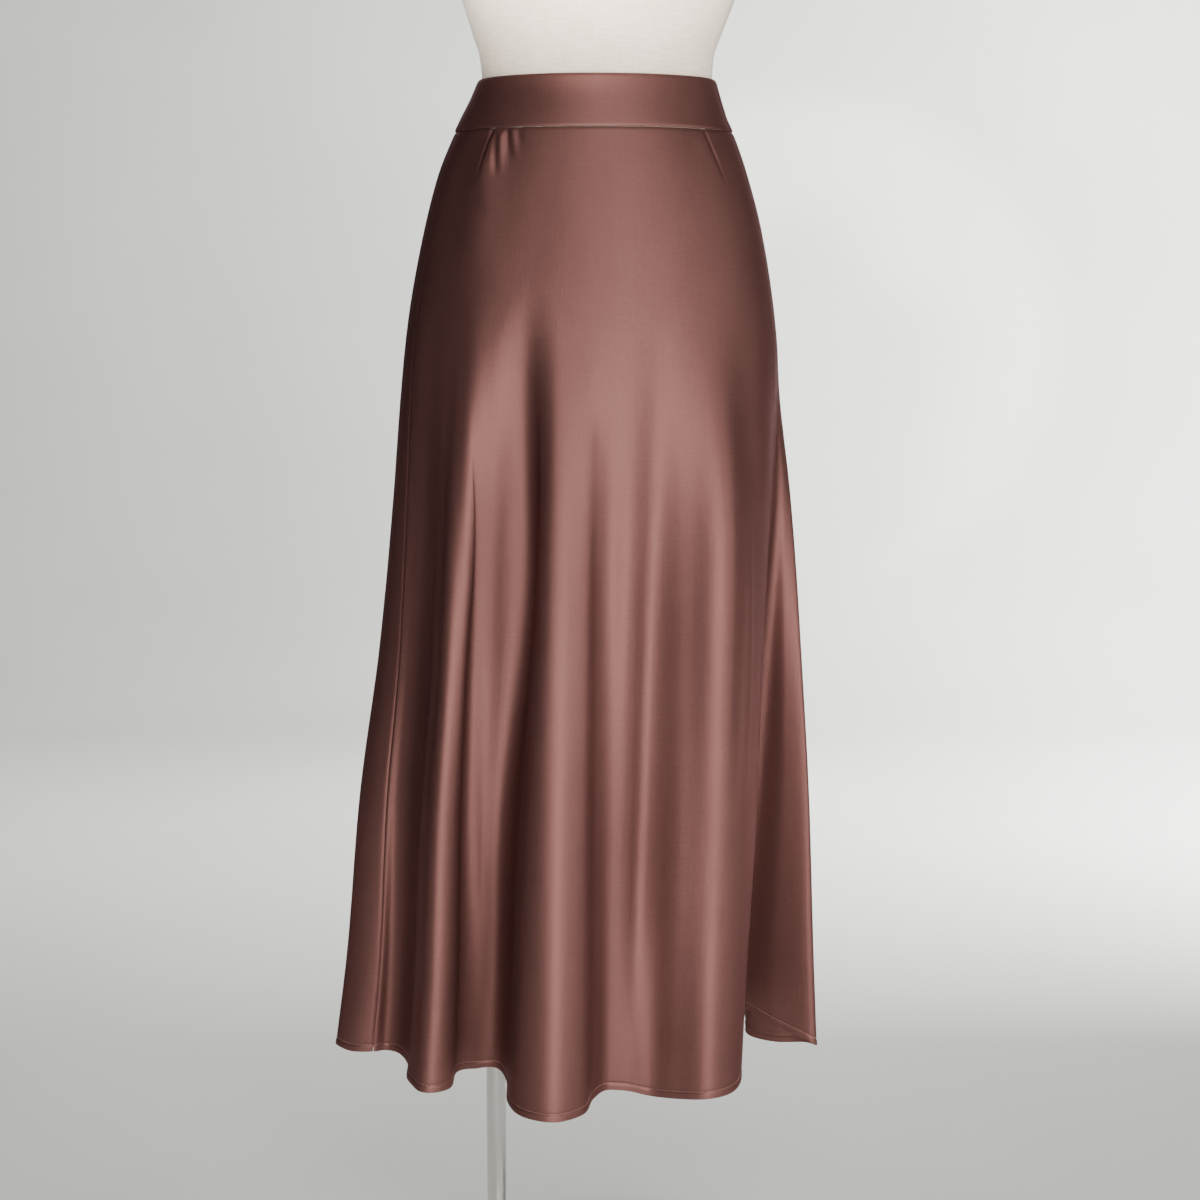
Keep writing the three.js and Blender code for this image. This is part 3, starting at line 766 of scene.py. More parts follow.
class Shader:
    """A material's node tree, built one node at a time."""

    def __init__(self, name: str) -> None:
        """Start a material with a Principled surface.

        Args:
            name: the material's name.
        """
        self.material = bpy.data.materials.new(name)
        self.material.use_nodes = True
        self.tree = self.material.node_tree
        self.surface = self.tree.nodes["Principled BSDF"]

    def node(
        self,
        kind: str,
        settings: dict[str, object],
        values: dict[str | int, object],
        output: str | int = 0,
    ) -> Wire:
        """Add a node.

        Args:
            kind: the node's type.
            settings: its properties, which are set first.
            values: its sockets' values or wires.
            output: the socket to read.

        Returns:
            The wire of that socket.
        """
        node = self.tree.nodes.new(kind)
        for key, value in settings.items():
            setattr(node, key, value)
        for key, value in values.items():
            if isinstance(value, Wire):
                self.tree.links.new(value.socket, node.inputs[key])
            else:
                node.inputs[key].default_value = value
        return Wire(self, node.outputs[output])

    def ramp(self, value: Wire, stops: Sequence[tuple[float, Colour]]) -> Wire:
        """Turn a value into a colour.

        Args:
            value: from 0 to 1.
            stops: places and their colours, lowest first.

        Returns:
            The colour.
        """
        colour = self.node("ShaderNodeValToRGB", {}, {0: value})
        elements = colour.socket.node.color_ramp.elements
        while len(elements) < len(stops):
            elements.new(1.0)
        for element, (place, shade) in zip(elements, stops):
            element.position = place
            element.color = (*shade, 1.0)
        return colour

    def stretched(self, source: Wire, scale: Place) -> Wire:
        """Coordinates multiplied by a scale along each axis."""
        return self.node("ShaderNodeMapping", {}, {"Vector": source, "Scale": scale})

    def streaked(self, source: Wire, scale: Place, detail: float = 3.0, roughness: float = 0.5) -> Wire:
        """Noise that is finer along some axes than along others.

        Args:
            source: the coordinates.
            scale: how fine it is along each axis.
            detail: how many finer layers it has.
            roughness: how strong those are.

        Returns:
            The noise's value.
        """
        return self.noise(self.stretched(source, scale), 1.0, detail, roughness)

    def noise(self, source: Wire, scale: float, detail: float, roughness: float = 0.5) -> Wire:
        """Noise from 0 to 1 on coordinates.

        Args:
            source: the coordinates.
            scale: how fine it is.
            detail: how many finer layers it has.
            roughness: how strong those are.

        Returns:
            The noise's value.
        """
        values = {"Vector": source, "Scale": scale, "Detail": detail, "Roughness": roughness}
        return self.node("ShaderNodeTexNoise", {}, values)

    def waves(self, source: Wire, scale: float, direction: str, distortion: float) -> Wire:
        """Even bands from 0 to 1 across one axis of the coordinates.

        Args:
            source: the coordinates.
            scale: how fine they are.
            direction: the axis, X, Y or Z.
            distortion: how uneven they are.

        Returns:
            The bands' value.
        """
        settings = {"wave_type": "BANDS", "bands_direction": direction, "wave_profile": "SIN"}
        values = {"Vector": source, "Scale": scale, "Distortion": distortion, "Detail": 2.0}
        return self.node("ShaderNodeTexWave", settings, values, 1)

    def mixed(self, factor: Wire | float, first: object, second: object) -> Wire:
        """Blend two colours.

        Args:
            factor: 0 gives the first and 1 the second.
            first: a colour or its wire.
            second: a colour or its wire.

        Returns:
            The blended colour.
        """
        values = {0: factor, 6: first, 7: second}
        return self.node("ShaderNodeMix", {"data_type": "RGBA"}, values, 2)

    def bump(self, height: Wire, strength: float, distance: float, normal: Wire | None = None) -> Wire:
        """A normal from a height.

        Args:
            height: the height's value.
            strength: from 0 to 1.
            distance: how far 1 stands out, in metres.
            normal: an earlier normal to build on.

        Returns:
            The normal.
        """
        values: dict[str | int, object] = {"Height": height, "Strength": strength, "Distance": distance}
        if normal is not None:
            values["Normal"] = normal
        return self.node("ShaderNodeBump", {}, values)

    def measures(self) -> Wire:
        """The piece's own UV map."""
        return self.node("ShaderNodeTexCoord", {}, {}, "UV")

    def place(self) -> Wire:
        """Object coordinates."""
        return self.node("ShaderNodeTexCoord", {}, {}, "Object")

    def dress(self, **sockets: object) -> bpy.types.Material:
        """Set the Principled surface's sockets.

        Args:
            sockets: names with _ for a space, and values or wires.

        Returns:
            The finished material.
        """
        for key, value in sockets.items():
            socket = self.surface.inputs[key.replace("_", " ")]
            if isinstance(value, Wire):
                self.tree.links.new(value.socket, socket)
            else:
                socket.default_value = value
        return self.material


@dataclass(frozen=True)
class SatinFinish:
    """Heavy brown satin: a broad soft sheen, fine threads and faint streaks."""

    light: Colour = (0.210, 0.099, 0.086)
    deep: Colour = (0.150, 0.068, 0.062)
    roughness: float = 0.5
    metallic: float = 0.75
    thread_scale: float = 1500.0

    def material(self) -> bpy.types.Material:
        """Build the cloth's material on the UV map's metres.

        Returns:
            The material.
        """
        shader = Shader("brown_satin")
        cloth = shader.measures()
        streaks = shader.streaked(cloth, (420.0, 38.0, 1.0))
        slubs = shader.streaked(cloth, (30.0, 520.0, 1.0))
        patches = shader.streaked(cloth, (7.0, 5.0, 1.0), detail=3.0, roughness=0.6)
        warp = shader.waves(cloth, self.thread_scale, "X", distortion=1.2)
        weft = shader.waves(cloth, self.thread_scale * 0.8, "Y", distortion=1.2)
        grain = shader.streaked(cloth, (400.0, 400.0, 1.0), detail=2.0)
        tone = (patches * 0.38 + streaks * 0.2 + slubs * 0.16 + grain * 0.26).clamped()
        colour = shader.ramp(tone, ((0.32, self.deep), (0.70, self.light)))
        roughness = self.roughness - 0.05 + streaks * 0.06 + slubs * 0.05 + patches * 0.03
        threads = shader.bump(warp * 0.6 + weft * 0.4, strength=0.25, distance=0.00006)
        ribs = streaks * 0.6 + slubs * 0.4
        normal = shader.bump(ribs, strength=0.5, distance=0.00022, normal=threads)
        return shader.dress(
            Base_Color=colour,
            Roughness=roughness.clamped(),
            Metallic=self.metallic,
            Normal=normal,
            Specular_IOR_Level=0.3,
            Specular_Tint=(0.25, 0.15, 0.2, 1.0),
        )


@dataclass(frozen=True)
class ThreadFinish:
    """Sewing thread, a little lighter than the satin."""

    colour: Colour = (0.42, 0.21, 0.175)

    def material(self) -> bpy.types.Material:
        """Build the thread's material on Object coordinates.

        Returns:
            The material.
        """
        shader = Shader("sewing_thread")
        twist = shader.waves(shader.place(), 2600.0, "Z", distortion=0.6)
        dark = tuple(0.8 * part for part in self.colour)
        shade = shader.mixed(twist, (*dark, 1.0), (*self.colour, 1.0))
        normal = shader.bump(twist, strength=0.3, distance=0.00005)
        return shader.dress(Base_Color=shade, Roughness=0.42, Normal=normal, Sheen_Weight=0.2)


@dataclass(frozen=True)
class LinenFinish:
    """Natural linen: uneven warp and weft, slubs and darker flecks."""

    light: Colour = (0.97, 0.86, 0.73)
    shade: Colour = (0.74, 0.61, 0.47)
    thread_scale: float = 330.0

    def material(self) -> bpy.types.Material:
        """Build the linen's material on the UV map's metres.

        Returns:
            The material.
        """
        shader = Shader("natural_linen")
        cloth = shader.measures()
        warp = shader.waves(cloth, self.thread_scale, "X", distortion=3.0)
        weft = shader.waves(cloth, self.thread_scale, "Y", distortion=3.0)
        slubs = shader.streaked(cloth, (42.0, 760.0, 1.0), detail=3.0, roughness=0.6)
        cords = shader.streaked(cloth, (760.0, 42.0, 1.0), detail=3.0, roughness=0.6)
        flecks = shader.streaked(cloth, (160.0, 640.0, 1.0), detail=2.0)
        patches = shader.streaked(cloth, (14.0, 14.0, 1.0))
        weave = warp * 0.35 + weft * 0.35 + slubs * 0.5 + cords * 0.4
        tone = (slubs * 0.42 + cords * 0.26 + patches * 0.2 + weave * 0.1).clamped()
        ground = shader.ramp(tone, ((0.34, self.shade), (0.62, self.light)))
        fleck = ((flecks - 0.66) * 9.0).clamped()
        colour = shader.mixed(fleck * 0.5, ground, (0.42, 0.34, 0.25, 1.0))
        normal = shader.bump(weave, strength=0.55, distance=0.0004)
        return shader.dress(Base_Color=colour, Roughness=0.9, Normal=normal, Sheen_Weight=0.15)


@dataclass(frozen=True)
class MetalFinish:
    """Metal with fine turning marks: satin steel, or paint of another colour."""

    name: str = "satin_steel"
    colour: Colour = (0.70, 0.68, 0.65)
    metallic: float = 0.85
    roughness: float = 0.30

    def material(self) -> bpy.types.Material:
        """Build the metal's material on Object coordinates.

        Returns:
            The material.
        """
        shader = Shader(self.name)
        place = shader.place()
        marks = shader.streaked(place, (60.0, 60.0, 1400.0), detail=2.0)
        smears = shader.noise(place, scale=9.0, detail=4.0, roughness=0.6)
        dull = tuple(0.82 * part for part in self.colour)
        colour = shader.mixed(smears, (*self.colour, 1.0), (*dull, 1.0))
        roughness = (self.roughness - 0.06 + marks * 0.08 + smears * 0.08).clamped()
        normal = shader.bump(marks, strength=0.2, distance=0.00003)
        return shader.dress(
            Base_Color=colour, Roughness=roughness, Metallic=self.metallic, Normal=normal
        )


@dataclass(frozen=True)
class WoodFinish:
    """Waxed beech with growth rings and fine pores."""

    light: Colour = (0.52, 0.33, 0.18)
    dark: Colour = (0.30, 0.17, 0.085)

    def material(self) -> bpy.types.Material:
        """Build the wood's material on Object coordinates.

        Returns:
            The material.
        """
        shader = Shader("waxed_wood")
        place = shader.place()
        rings = shader.waves(shader.stretched(place, (1.0, 0.25, 1.0)), 42.0, "X", distortion=3.5)
        pores = shader.streaked(place, (900.0, 60.0, 900.0))
        grain = (rings * 0.6 + pores * 0.4).clamped()
        colour = shader.ramp(grain, ((0.25, self.dark), (0.75, self.light)))
        normal = shader.bump(pores, strength=0.25, distance=0.0001)
        roughness = (0.36 + pores * 0.14).clamped()
        return shader.dress(Base_Color=colour, Roughness=roughness, Normal=normal, Coat_Weight=0.15)


@dataclass
class Skirt:
    """The skirt's three panels, its waistband in three pieces, and the hem's stitches."""

    satin: bpy.types.Material
    thread: bpy.types.Material
    wall: float = 0.9
    column_step: float = 5.2
    row_step: float = 6.5
    fine_step: float = 0.75
    top_zone: float = 80.0
    hem_zone: float = 12.0
    hem_rows: int = 15
    mean_width_share: float = 0.72
    crease_fade: float = 9.0
    seam_roll: float = 0.8
    seam_width: float = 1.7
    band_seam_width: float = 1.8
    hem_turn: float = 7.0
    hem_relief: float = 0.45
    hem_edge: float = 1.2
    hem_steepness: float = 3.0
    hem_groove_width: float = 0.9
    hem_groove_depth: float = 0.9
    stitch_length: float = 2.3
    stitch_pitch: float = 3.1
    stitch_radius: float = 0.28
    stitch_margin: float = 2.0
    stitch_lift: float = 0.8
    band_wall: float = 2.2
    band_edge: float = 0.7
    band_swell: float = 0.5
    band_roll_width: float = 1.6
    band_rim_width: float = 1.5
    band_rim_share: float = 0.8
    band_relief: float = 0.45
    band_turns: float = 1.4
    band_phase: float = 31.0
    band_climb: float = 2.1
    band_fade: float = 8.0
    band_mm_per_degree: float = 1.95
    drape: Drape = field(default_factory=lambda: Drape(Sections(SKIRT_SECTIONS), FOLD_LINES))

    DARTS = (-44.2, 53.0, 139.0, 221.0)

    def build(self) -> None:
        """Make every piece of the skirt."""
        panels = (
            ("satin_front_panel", "front_panel", "left seam", "right seam"),
            ("satin_back_panel_left", "back_panel_left", "right seam", "back seam"),
            ("satin_back_panel_right", "back_panel_right", "back seam", "left seam"),
        )
        for name, node, first, last in panels:
            self._panel(name, node, first, last)
        bands = (
            ("satin_band_front", "waistband_front", LEFT_SEAM_ANGLE, RIGHT_SEAM_ANGLE),
            ("satin_band_back_left", "waistband_back_left", RIGHT_SEAM_ANGLE, BACK_SEAM_ANGLE),
            ("satin_band_back_right", "waistband_back_right", BACK_SEAM_ANGLE, LEFT_SEAM_ANGLE + 360),
        )
        for name, node, first, last in bands:
            self._band(name, node, first, last)

    def _panel_place(self, first: float, last: float) -> Surface:
        """A function from a run and a share down to a point of one panel.

        Args:
            first: the run of the panel's first seam.
            last: the run of its last seam.

        Returns:
            The function, in millimetres.
        """

        def place(run: np.ndarray, down: np.ndarray) -> np.ndarray:
            """Points of the panel with its creases, seams and turned hem.

            Args:
                run: distances along the hem.
                down: shares of the way down.

            Returns:
                Points in millimetres.
            """
            point = self.drape.surface(run, down)
            angle = self.drape.angle(np.mod(run, self.drape.length))
            height = Relief.height(angle, point[..., 2], CREASES)
            edge = np.minimum(run - first, last - run)
            above_hem = (1 - down) * FALL
            below_band = down * FALL
            height *= np.clip(edge / self.crease_fade, 0, 1)
            height -= self.seam_roll * np.exp(-((edge / self.seam_width) ** 2))
            height -= self.seam_roll * np.exp(-((below_band / self.band_seam_width) ** 2))
            above_stitches = above_hem - self.hem_turn
            turned = 1 / (1 + np.exp((above_stitches + self.hem_edge) * self.hem_steepness))
            groove = np.exp(-((above_stitches / self.hem_groove_width) ** 2))
            height += self.hem_relief * (turned - self.hem_groove_depth * groove)
            return point + self.drape.outward(run, down) * height[..., None]

        return place

    def _panel(self, name: str, node: str, first_line: str, last_line: str) -> None:
        """Make one panel with its hem's stitches.

        Args:
            name: the piece's name.
            node: the solid that it replaces.
            first_line: the fold line of its first seam.
            last_line: the fold line of its last seam.
        """
        first = self.drape.run(first_line)
        last = self.drape.length if last_line == "left seam" else self.drape.run(last_line)
        darts = [self.drape.run_at(angle) for angle in self.DARTS]
        spots = [first, last, *(run for run in darts if first < run < last)]
        runs = graded(first + SEAM_GAP, last - SEAM_GAP, self.column_step, self.fine_step, spots)
        top = graded(SEAM_GAP / 2, self.top_zone, coarse=2.2, fine=0.6, spots=[0.0])
        rows = int((FALL - self.top_zone - self.hem_zone) / self.row_step)
        middle = np.linspace(self.top_zone, FALL - self.hem_zone, rows)[1:]
        end = np.linspace(FALL - self.hem_zone, FALL, self.hem_rows)[1:]
        down = np.concatenate([top, middle, end]) / FALL
        place = self._panel_place(first, last)
        piece = sheet_from_grid(name, runs, down, place, (MM * self.mean_width_share, MM * FALL))
        thickened(piece, self.wall * MM)
        smoothed(piece, 60)
        finished(piece, self.satin)
        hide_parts(node)
        stitches = self._stitches(name + "_stitches", first, last, place)
        width = float(last - first) * MM

    def _stitches(self, name: str, first: float, last: float, place: Surface) -> bpy.types.Object:
        """Make the row of stitches along a panel's hem as one mesh.

        Args:
            name: the piece's name.
            first: the run of the panel's first seam.
            last: the run of its last seam.
            place: gives the panel's points.

        Returns:
            The stitches.
        """
        deselect()
        bpy.ops.mesh.primitive_uv_sphere_add(segments=6, ring_count=5, radius=1)
        stitch = named(name)
        stitch.scale = (self.stitch_length / 2, self.stitch_radius, self.stitch_radius)
        settle(stitch)
        shape = vertex_points(stitch.data)
        length = last - first - 2 * self.stitch_margin
        count = int(length / self.stitch_pitch)
        runs = first + self.stitch_margin + (np.arange(count) + 0.5) * length / count
        down = np.full(count, 1 - self.hem_turn / FALL)
        near = 0.6
        along = place(runs + near, down) - place(runs - near, down)
        along /= np.linalg.norm(along, axis=-1, keepdims=True)
        out = self.drape.outward(runs, down)
        up = np.cross(out, along)
        lifted = place(runs, down) + out * self.stitch_radius * self.stitch_lift
        points = (
            lifted[:, None]
            + shape[None, :, :1] * along[:, None]
            + shape[None, :, 1:2] * out[:, None]
            + shape[None, :, 2:] * up[:, None]
        )
        faces = [tuple(face.vertices) for face in stitch.data.polygons]
        size = len(shape)
        joined = [tuple(index + size * k for index in face) for k in range(count) for face in faces]
        mesh = bpy.data.meshes.new(name)
        mesh.from_pydata((points.reshape(-1, 3) * MM).tolist(), [], joined)
        stitch.data = mesh
        with editing(stitch):
            bpy.ops.mesh.normals_make_consistent(inside=False)
        smoothed(stitch, 80)
        return finished(stitch, self.thread)

    def _band(self, name: str, node: str, first: float, last: float) -> None:
        """Make one piece of the waistband.

        Args:
            name: the piece's name.
            node: the solid that it replaces.
            first: the angle of its first seam.
            last: the angle of its last seam.
        """
        per_degree = self.band_mm_per_degree
        grow = BAND_WALL - CLOTH_WALL
        middle = 0.5 * (WAIST_TOP + BAND_SEAM)

        def place(angle: np.ndarray, drop: np.ndarray) -> np.ndarray:
            """Points of the band, swollen between rolled edges.

            Args:
                angle: degrees from the front centre.
                drop: distances below the band's top.

            Returns:
                Points in millimetres.
            """
            z = WAIST_TOP - drop
            edge = np.minimum(angle - first, last - angle) * per_degree
            level = np.minimum(drop, BAND_HEIGHT - drop)
            swell = self.band_swell * (1 - ((z - middle) / (BAND_HEIGHT / 2)) ** 2)
            rim = self.band_rim_share * np.exp(-((level / self.band_rim_width) ** 2))
            rolled = np.exp(-((edge / self.band_roll_width) ** 2)) + rim
            turned = angle * self.band_turns + self.band_phase
            uneven = Relief.height(turned, z * self.band_climb, ()) * self.band_relief
            for reach in (edge, level):
                uneven = uneven * np.clip(reach / self.band_fade, 0, 1)
            return self.drape.sections.point(angle, z, grow + swell - self.seam_roll * rolled + uneven)

        gap = SEAM_GAP / 2 / per_degree
        foot = BAND_HEIGHT - SEAM_GAP / 2
        angles = graded(first + gap, last - gap, coarse=1.6, fine=0.4, spots=[first, last])
        drops = graded(0.0, foot, coarse=2.4, fine=0.45, spots=[0.0, BAND_HEIGHT])
        piece = sheet_from_grid(name, angles, drops, place, (MM * per_degree, MM))
        thickened(piece, self.band_wall * MM)
        bevelled(piece, self.band_edge * MM, segments=3, angle=50, smooth=60)
        finished(piece, self.satin)
        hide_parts(node)


@dataclass
class ZipPull:
    """The concealed zip's slider and its hinged pull tab, finer than their solids."""

    metal: bpy.types.Material
    edge: float = 0.18

    def build(self) -> None:
        """Round and dress both pieces."""
        self._refined("zip_slider_body", "zip_slider", Body.ROOT)
        self._refined("zip_pull_tab", "zip_tab", Body.ZIP_PULL)

    def _refined(self, name: str, node: str, body: Body) -> None:
        """Copy a solid, merge its corners and round its edges.

        Args:
            name: the new piece's name.
            node: the solid that it replaces.
            body: what it moves with.
        """
        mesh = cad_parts[node].data.copy()
        mesh.name = name
        piece = bpy.data.objects.new(name, mesh)
        bpy.context.scene.collection.objects.link(piece)
        with editing(piece):
            bpy.ops.mesh.remove_doubles(threshold=1e-6)
            bpy.ops.mesh.dissolve_limited(angle_limit=math.radians(2))
        bevelled(piece, self.edge * MM, segments=3, angle=40)
        finished(piece, self.metal, body)
        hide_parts(node)


@dataclass
class DressForm:
    """The torso with its linen cover, and the turned cap on its neck."""

    linen: bpy.types.Material
    wood: bpy.types.Material
    columns: int = 160
    row_step: float = 5.0
    mm_per_degree: float = 2.3
    slack: float = 0.15
    rim: float = 2.5
    neck_x: float = 3.0
    cap_radius: float = 51.0
    cap_height: float = 6.0
    cap_edge: float = 0.8

    HIP_INSETS = (
        Inset(866, 28),
        Inset(872, 19),
        Inset(888, 12.5),
        Inset(912, 8),
        Inset(940, 4.5),
        Inset(970, 2.8),
    )
    UPPER = (
        Section(1184, 105, 111, 85.5, 81.5),
        Section(1208, 112, 119, 89, 84.5),
        Section(1240, 122, 131, 97, 90),
        Section(1290, 135, 143, 111, 98),
        Section(1340, 141, 149, 120, 104),
        Section(1395, 146, 153, 114, 108),
        Section(1445, 158, 164, 99, 105),
        Section(1480, 165, 171, 87, 96),
        Section(1505, 161, 167, 78, 85),
        Section(1525, 142, 148, 69, 74),
        Section(1542, 110, 116, 62, 64),
        Section(1555, 78, 84, 56, 57),
        Section(1570, 61, 67, 53, 53),
        Section(1612, 55, 61, 50, 50),
    )
    CAP_STEPS = (
        Turning(0.8, 4.2),
        Turning(0.58, 1.8),
        Turning(0.22, 1.0),
        Turning(0.6, 1.2),
        Turning(1.35, 3.0),
        Turning(1.0, 3.5),
        Turning(0.75, 3.0),
    )

    def build(self) -> None:
        """Make the torso and the cap."""
        self._torso()
        self._cap()

    def _rows(self) -> Sections:
        """The torso's sections from its underside to its neck.

        Returns:
            The skirt's sections drawn in, and the torso's own above them.
        """
        skirt = Sections(SKIRT_SECTIONS)
        fit = CLOTH_WALL + FORM_GAP + self.slack
        fitted = (Inset(row.z, fit) for row in SKIRT_SECTIONS if row.z > self.HIP_INSETS[-1].z)
        rows = []
        for z, inset in (*self.HIP_INSETS, *fitted):
            sizes = (skirt.left(z), skirt.right(z), skirt.front(z), skirt.back(z))
            rows.append(Section(z, *(float(size) - inset for size in sizes)))
        return Sections([*rows, *self.UPPER])

    def _torso(self) -> None:
        """Lay a grid round the sections, join its seam and close both ends."""
        sections = self._rows()
        bottom, top = self.HIP_INSETS[0].z, self.UPPER[-1].z
        heights = np.linspace(top, bottom, int((top - bottom) / self.row_step))
        angles = np.linspace(-180, 180, self.columns + 1)
        scale = (MM * self.mm_per_degree, -MM)
        piece = sheet_from_grid("linen_torso", angles, heights, sections.point, scale)
        with editing(piece):
            bpy.ops.mesh.remove_doubles(threshold=1e-5)
            bpy.ops.mesh.select_all(action="DESELECT")
            bpy.ops.mesh.select_non_manifold()
            bpy.ops.mesh.fill_holes(sides=0)
            bpy.ops.mesh.select_all(action="SELECT")
            bpy.ops.mesh.normals_make_consistent(inside=False)
        bevelled(piece, self.rim * MM, segments=4, angle=50)
        finished(piece, self.linen)
        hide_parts("form_torso")

    def _cap(self) -> None:
        """Turn the neck's cap from a short cylinder, with a knob on top."""
        low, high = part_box("form_neck_cap")
        middle = (self.neck_x * MM, 0, low.z + self.cap_height / 2 * MM)
        cap = cylinder("neck_cap", self.cap_radius * MM, self.cap_height * MM, middle)
        cleared(cap)
        top = max(cap.data.polygons, key=lambda face: face.center.z)
        top.select = True
        bpy.ops.object.mode_set(mode="EDIT")
        centre = Vector((self.neck_x * MM, 0, 0))
        for share, rise in self.CAP_STEPS:
            bpy.ops.mesh.extrude_region_move(TRANSFORM_OT_translate={"value": (0, 0, rise * MM)})
            bpy.ops.transform.resize(value=(share, share, 1), center_override=centre)
        bpy.ops.object.mode_set(mode="OBJECT")
        reach = max(vertex.co.z for vertex in cap.data.vertices)
        log.info("neck_cap: top at %.4f m, solid's at %.4f m", reach, high.z)
        bevelled(cap, self.cap_edge * MM, segments=3, angle=25)
        finished(cap, self.wood)
        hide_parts("form_neck_cap")


@dataclass
class Stand:
    """The pole off the form's centre, its socket and collar, and the round base."""

    steel: bpy.types.Material
    pole_x: float = -97.0
    pole_radius: float = 9.5
    pole_edge: float = 0.4
    socket_radius: float = 30.0
    socket_edge: float = 1.0
    collar_radius: float = 16.0
    collar_edge: float = 1.2
    base_radius: float = 140.0
    base_edge: float = 2.6
    screw_count: int = 3
    screw_circle: float = 21.0
    screw_turn: float = 30.0
    screw_radius: float = 3.4
    screw_depth: float = 1.6
    screw_drop: float = 0.7
    screw_edge: float = 0.6

    def build(self) -> None:
        """Make every piece of the stand."""
        self._round("steel_pole", "stand_pole", self.pole_radius, self.pole_edge, sides=64)
        self._round("steel_socket", "form_socket", self.socket_radius, self.socket_edge, sides=96)
        self._screws()
        self._round("steel_base", "stand_base", self.base_radius, self.base_edge, sides=160)
        self._collar()

    def _round(self, name: str, node: str, radius: float, edge: float, sides: int) -> None:
        """Make a round piece in its solid's place, with softened rims.

        Args:
            name: the piece's name.
            node: the solid that it replaces.
            radius: in millimetres.
            edge: the rims' rounding in millimetres.
            sides: how many sides it has.
        """
        low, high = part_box(node)
        middle = ((low.x + high.x) / 2, (low.y + high.y) / 2, (low.z + high.z) / 2)
        piece = cylinder(name, radius * MM, high.z - low.z, middle, sides)
        bevelled(piece, edge * MM, segments=4, angle=50)
        finished(piece, self.steel)
        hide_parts(node)

    def _screws(self) -> None:
        """Set the screw heads under the socket's plate."""
        low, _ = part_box("form_socket")
        for index in range(self.screw_count):
            turn = math.radians(self.screw_turn + 360 / self.screw_count * index)
            middle = (
                (self.pole_x + self.screw_circle * math.cos(turn)) * MM,
                self.screw_circle * math.sin(turn) * MM,
                low.z - self.screw_drop * MM,
            )
            name = f"socket_screw_{index + 1}"
            screw = cylinder(name, self.screw_radius * MM, self.screw_depth * MM, middle, sides=32)
            bevelled(screw, self.screw_edge * MM, segments=3, angle=50)
            finished(screw, self.steel)

    def _collar(self) -> None:
        """Make the ring round the pole's foot."""
        low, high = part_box("stand_collar")
        middle = (self.pole_x * MM, 0, (low.z + high.z) / 2)
        collar = cylinder(
            "steel_collar", self.collar_radius * MM, high.z - low.z, middle, ends="NOTHING"
        )
        thickened(collar, (self.collar_radius - self.pole_radius - SEAM_GAP) * MM)
        bevelled(collar, self.collar_edge * MM, segments=4, angle=50)
        finished(collar, self.steel)
        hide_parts("stand_collar")


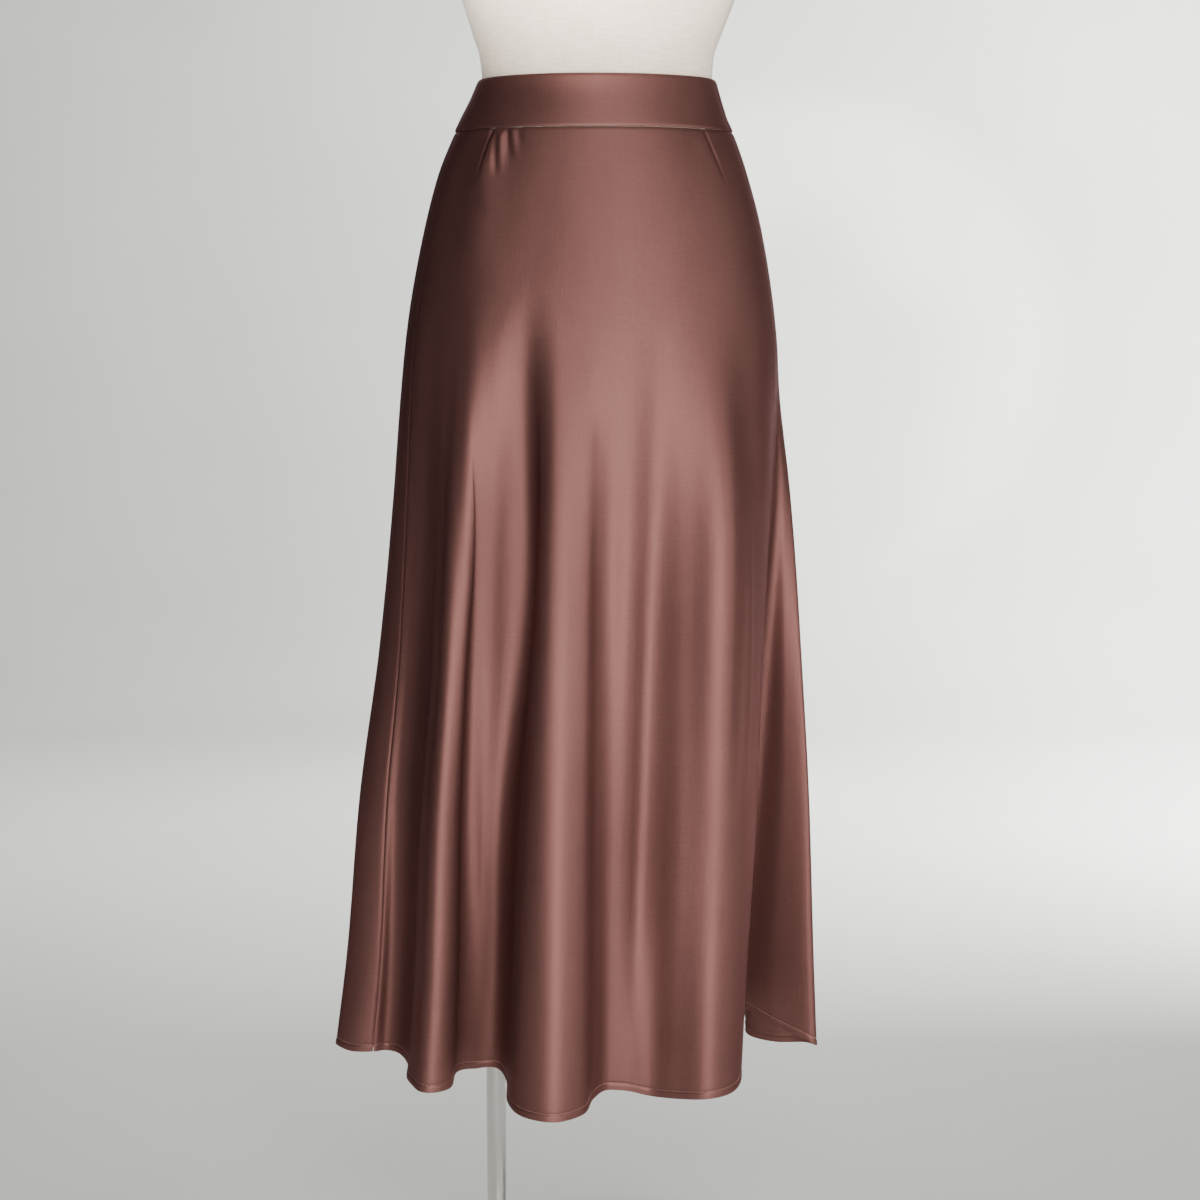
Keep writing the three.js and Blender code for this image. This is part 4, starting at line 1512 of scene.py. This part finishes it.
@dataclass
class Studio:
    """A pale floor and wall, soft lights and the camera, in metres."""

    floor_width: float = 5.4
    floor_depth: float = 6.9
    floor_middle: float = 0.75
    wall_height: float = 5.0
    sweep_width: float = 1.6
    lens: float = 66.0
    sensor: float = 36.0
    eye: Place = (0.006, -2.090, 0.985)
    pitch: float = 8.35
    shade_tint: Colour = (0.26, 0.12, 1.0)
    shade_strength: float = 0.012
    pale_tint: Colour = (0.82, 0.83, 0.82)
    spot_place: Place = (-0.35, -2.5, 1.9)
    spot_target: Place = (0.0, 0.0, 1.475)
    spot_angle: float = 12.5
    spot_blend: float = 0.15
    spot_size: float = 0.08
    spot_power: float = 1600.0
    spot_colour: Colour = (1.0, 0.94, 0.87)

    WARM = (1.0, 0.97, 0.94)
    CREAM = (1.0, 0.97, 0.95)
    WHITE = (1.0, 1.0, 0.98)
    LIGHTS = (
        StudioLight("key", (0.60, -2.65, 0.60), (0.0, 0.0, 0.70), 1.9, 1.1, 61.0, WARM),
        StudioLight("left_front", (-0.45, -2.60, 0.30), (0.0, 0.0, 0.45), 0.8, 0.8, 20.0, WARM),
        StudioLight("top", (0.40, -2.10, 2.50), (0.0, 0.0, 1.25), 1.4, 0.7, 26.0, CREAM),
        StudioLight("window", (2.4, -1.40, 0.90), (0.0, 0.0, 0.75), 1.6, 1.4, 23.0, CREAM),
        StudioLight("wall_right", (2.1, 1.2, 1.4), (2.1, 4.0, 0.3), 1.4, 1.4, 420.0, WHITE),
        StudioLight("wall_left", (-2.3, 1.2, 1.4), (-2.3, 4.0, 0.3), 1.4, 1.4, 26.0, WHITE),
        StudioLight("back_fill", (0.0, 2.4, 1.2), (0.0, 0.0, 0.80), 0.8, 0.8, 14.0, CREAM),
        StudioLight("floor_wash", (0.0, 1.5, 1.8), (0.0, 0.5, 0.0), 1.6, 0.8, 36.0, WHITE),
    )

    def build(self) -> None:
        """Make the stage, the camera, the lights and the world."""
        self._stage()
        self._camera()
        for light in self.LIGHTS:
            self._area(light)
        self._torso_spot()
        self._world()

    def _stage(self) -> None:
        """Make the floor and the wall as one swept sheet."""
        deselect()
        bpy.ops.mesh.primitive_plane_add(size=1, location=(0, 0, 0))
        stage = named("studio_sweep")
        stage.scale = (self.floor_width, self.floor_depth, 1.0)
        stage.location = (0, self.floor_middle, 0)
        settle(stage)
        cleared(stage)
        far = max(vertex.co.y for vertex in stage.data.vertices)
        for edge in stage.data.edges:
            edge.select = all(stage.data.vertices[v].co.y > far - 0.01 for v in edge.vertices)
        bpy.ops.object.mode_set(mode="EDIT")
        bpy.ops.mesh.extrude_region_move(TRANSFORM_OT_translate={"value": (0, 0, self.wall_height)})
        bpy.ops.object.mode_set(mode="OBJECT")
        bevelled(stage, self.sweep_width, segments=32, angle=60, smooth=60)
        shader = Shader("pale_paint")
        tint = shader.noise(shader.place(), scale=1.3, detail=3.0)
        colour = shader.ramp(tint, ((0.3, (0.60, 0.61, 0.59)), (0.7, (0.66, 0.67, 0.65))))
        stage.data.materials.append(shader.dress(Base_Color=colour, Roughness=0.85))

    def _camera(self) -> None:
        """Set the camera at the photograph's viewing angle."""
        data = bpy.data.cameras.new("view")
        data.lens = self.lens
        data.sensor_width = self.sensor
        camera = bpy.data.objects.new("view", data)
        bpy.context.scene.collection.objects.link(camera)
        camera.location = self.eye
        camera.rotation_euler = (math.radians(90 - self.pitch), 0, 0)
        bpy.context.scene.camera = camera

    def _area(self, light: StudioLight) -> None:
        """Add one of the studio's area lights.

        Args:
            light: its row of the table.
        """
        data = bpy.data.lights.new(light.name, "AREA")
        data.shape = "RECTANGLE"
        data.size = light.width
        data.size_y = light.height
        self._aimed(data, light.power, light.colour, light.place, light.target)

    def _torso_spot(self) -> None:
        """Add a soft spot that lifts the linen above the waist."""
        data = bpy.data.lights.new("torso_spot", "SPOT")
        data.spot_size = math.radians(self.spot_angle)
        data.spot_blend = self.spot_blend
        data.shadow_soft_size = self.spot_size
        self._aimed(data, self.spot_power, self.spot_colour, self.spot_place, self.spot_target)

    def _aimed(
        self, data: bpy.types.Light, power: float, colour: Colour, place: Place, target: Place
    ) -> None:
        """Stand a light in its place and aim it, unseen by the camera.

        Args:
            data: the light.
            power: its watts.
            colour: its tint.
            place: where it stands.
            target: what it faces.
        """
        data.energy = power
        data.color = colour
        lamp = bpy.data.objects.new(data.name, data)
        bpy.context.scene.collection.objects.link(lamp)
        lamp.location = place
        lamp.visible_camera = False
        facing = Vector(target) - Vector(place)
        lamp.rotation_euler = facing.to_track_quat("-Z", "Y").to_euler()

    def _world(self) -> None:
        """Make a world that is pale to the camera and nearly black to the cloth."""
        world = bpy.data.worlds.new("studio")
        bpy.context.scene.world = world
        world.use_nodes = True
        nodes, links = world.node_tree.nodes, world.node_tree.links
        shade = nodes["Background"]
        shade.inputs["Color"].default_value = (*self.shade_tint, 1.0)
        shade.inputs["Strength"].default_value = self.shade_strength
        pale = nodes.new("ShaderNodeBackground")
        pale.inputs["Color"].default_value = (*self.pale_tint, 1.0)
        seen = nodes.new("ShaderNodeLightPath")
        blend = nodes.new("ShaderNodeMixShader")
        links.new(seen.outputs["Is Camera Ray"], blend.inputs[0])
        links.new(shade.outputs[0], blend.inputs[1])
        links.new(pale.outputs[0], blend.inputs[2])
        links.new(blend.outputs[0], nodes["World Output"].inputs["Surface"])


def main() -> None:
    """Build every sub-assembly in order."""
    logging.basicConfig(level=logging.INFO, format="%(message)s")
    brown = (0.17, 0.085, 0.07)
    paint = MetalFinish("brown_zip_paint", brown, metallic=0.35, roughness=0.36)
    parts = (
        Studio(),
        Skirt(SatinFinish().material(), ThreadFinish().material()),
        ZipPull(paint.material()),
        DressForm(LinenFinish().material(), WoodFinish().material()),
        Stand(MetalFinish().material()),
    )
    for part in parts:
        part.build()
        log.info("%s done", type(part).__name__)


if __name__ == "__main__":
    main()
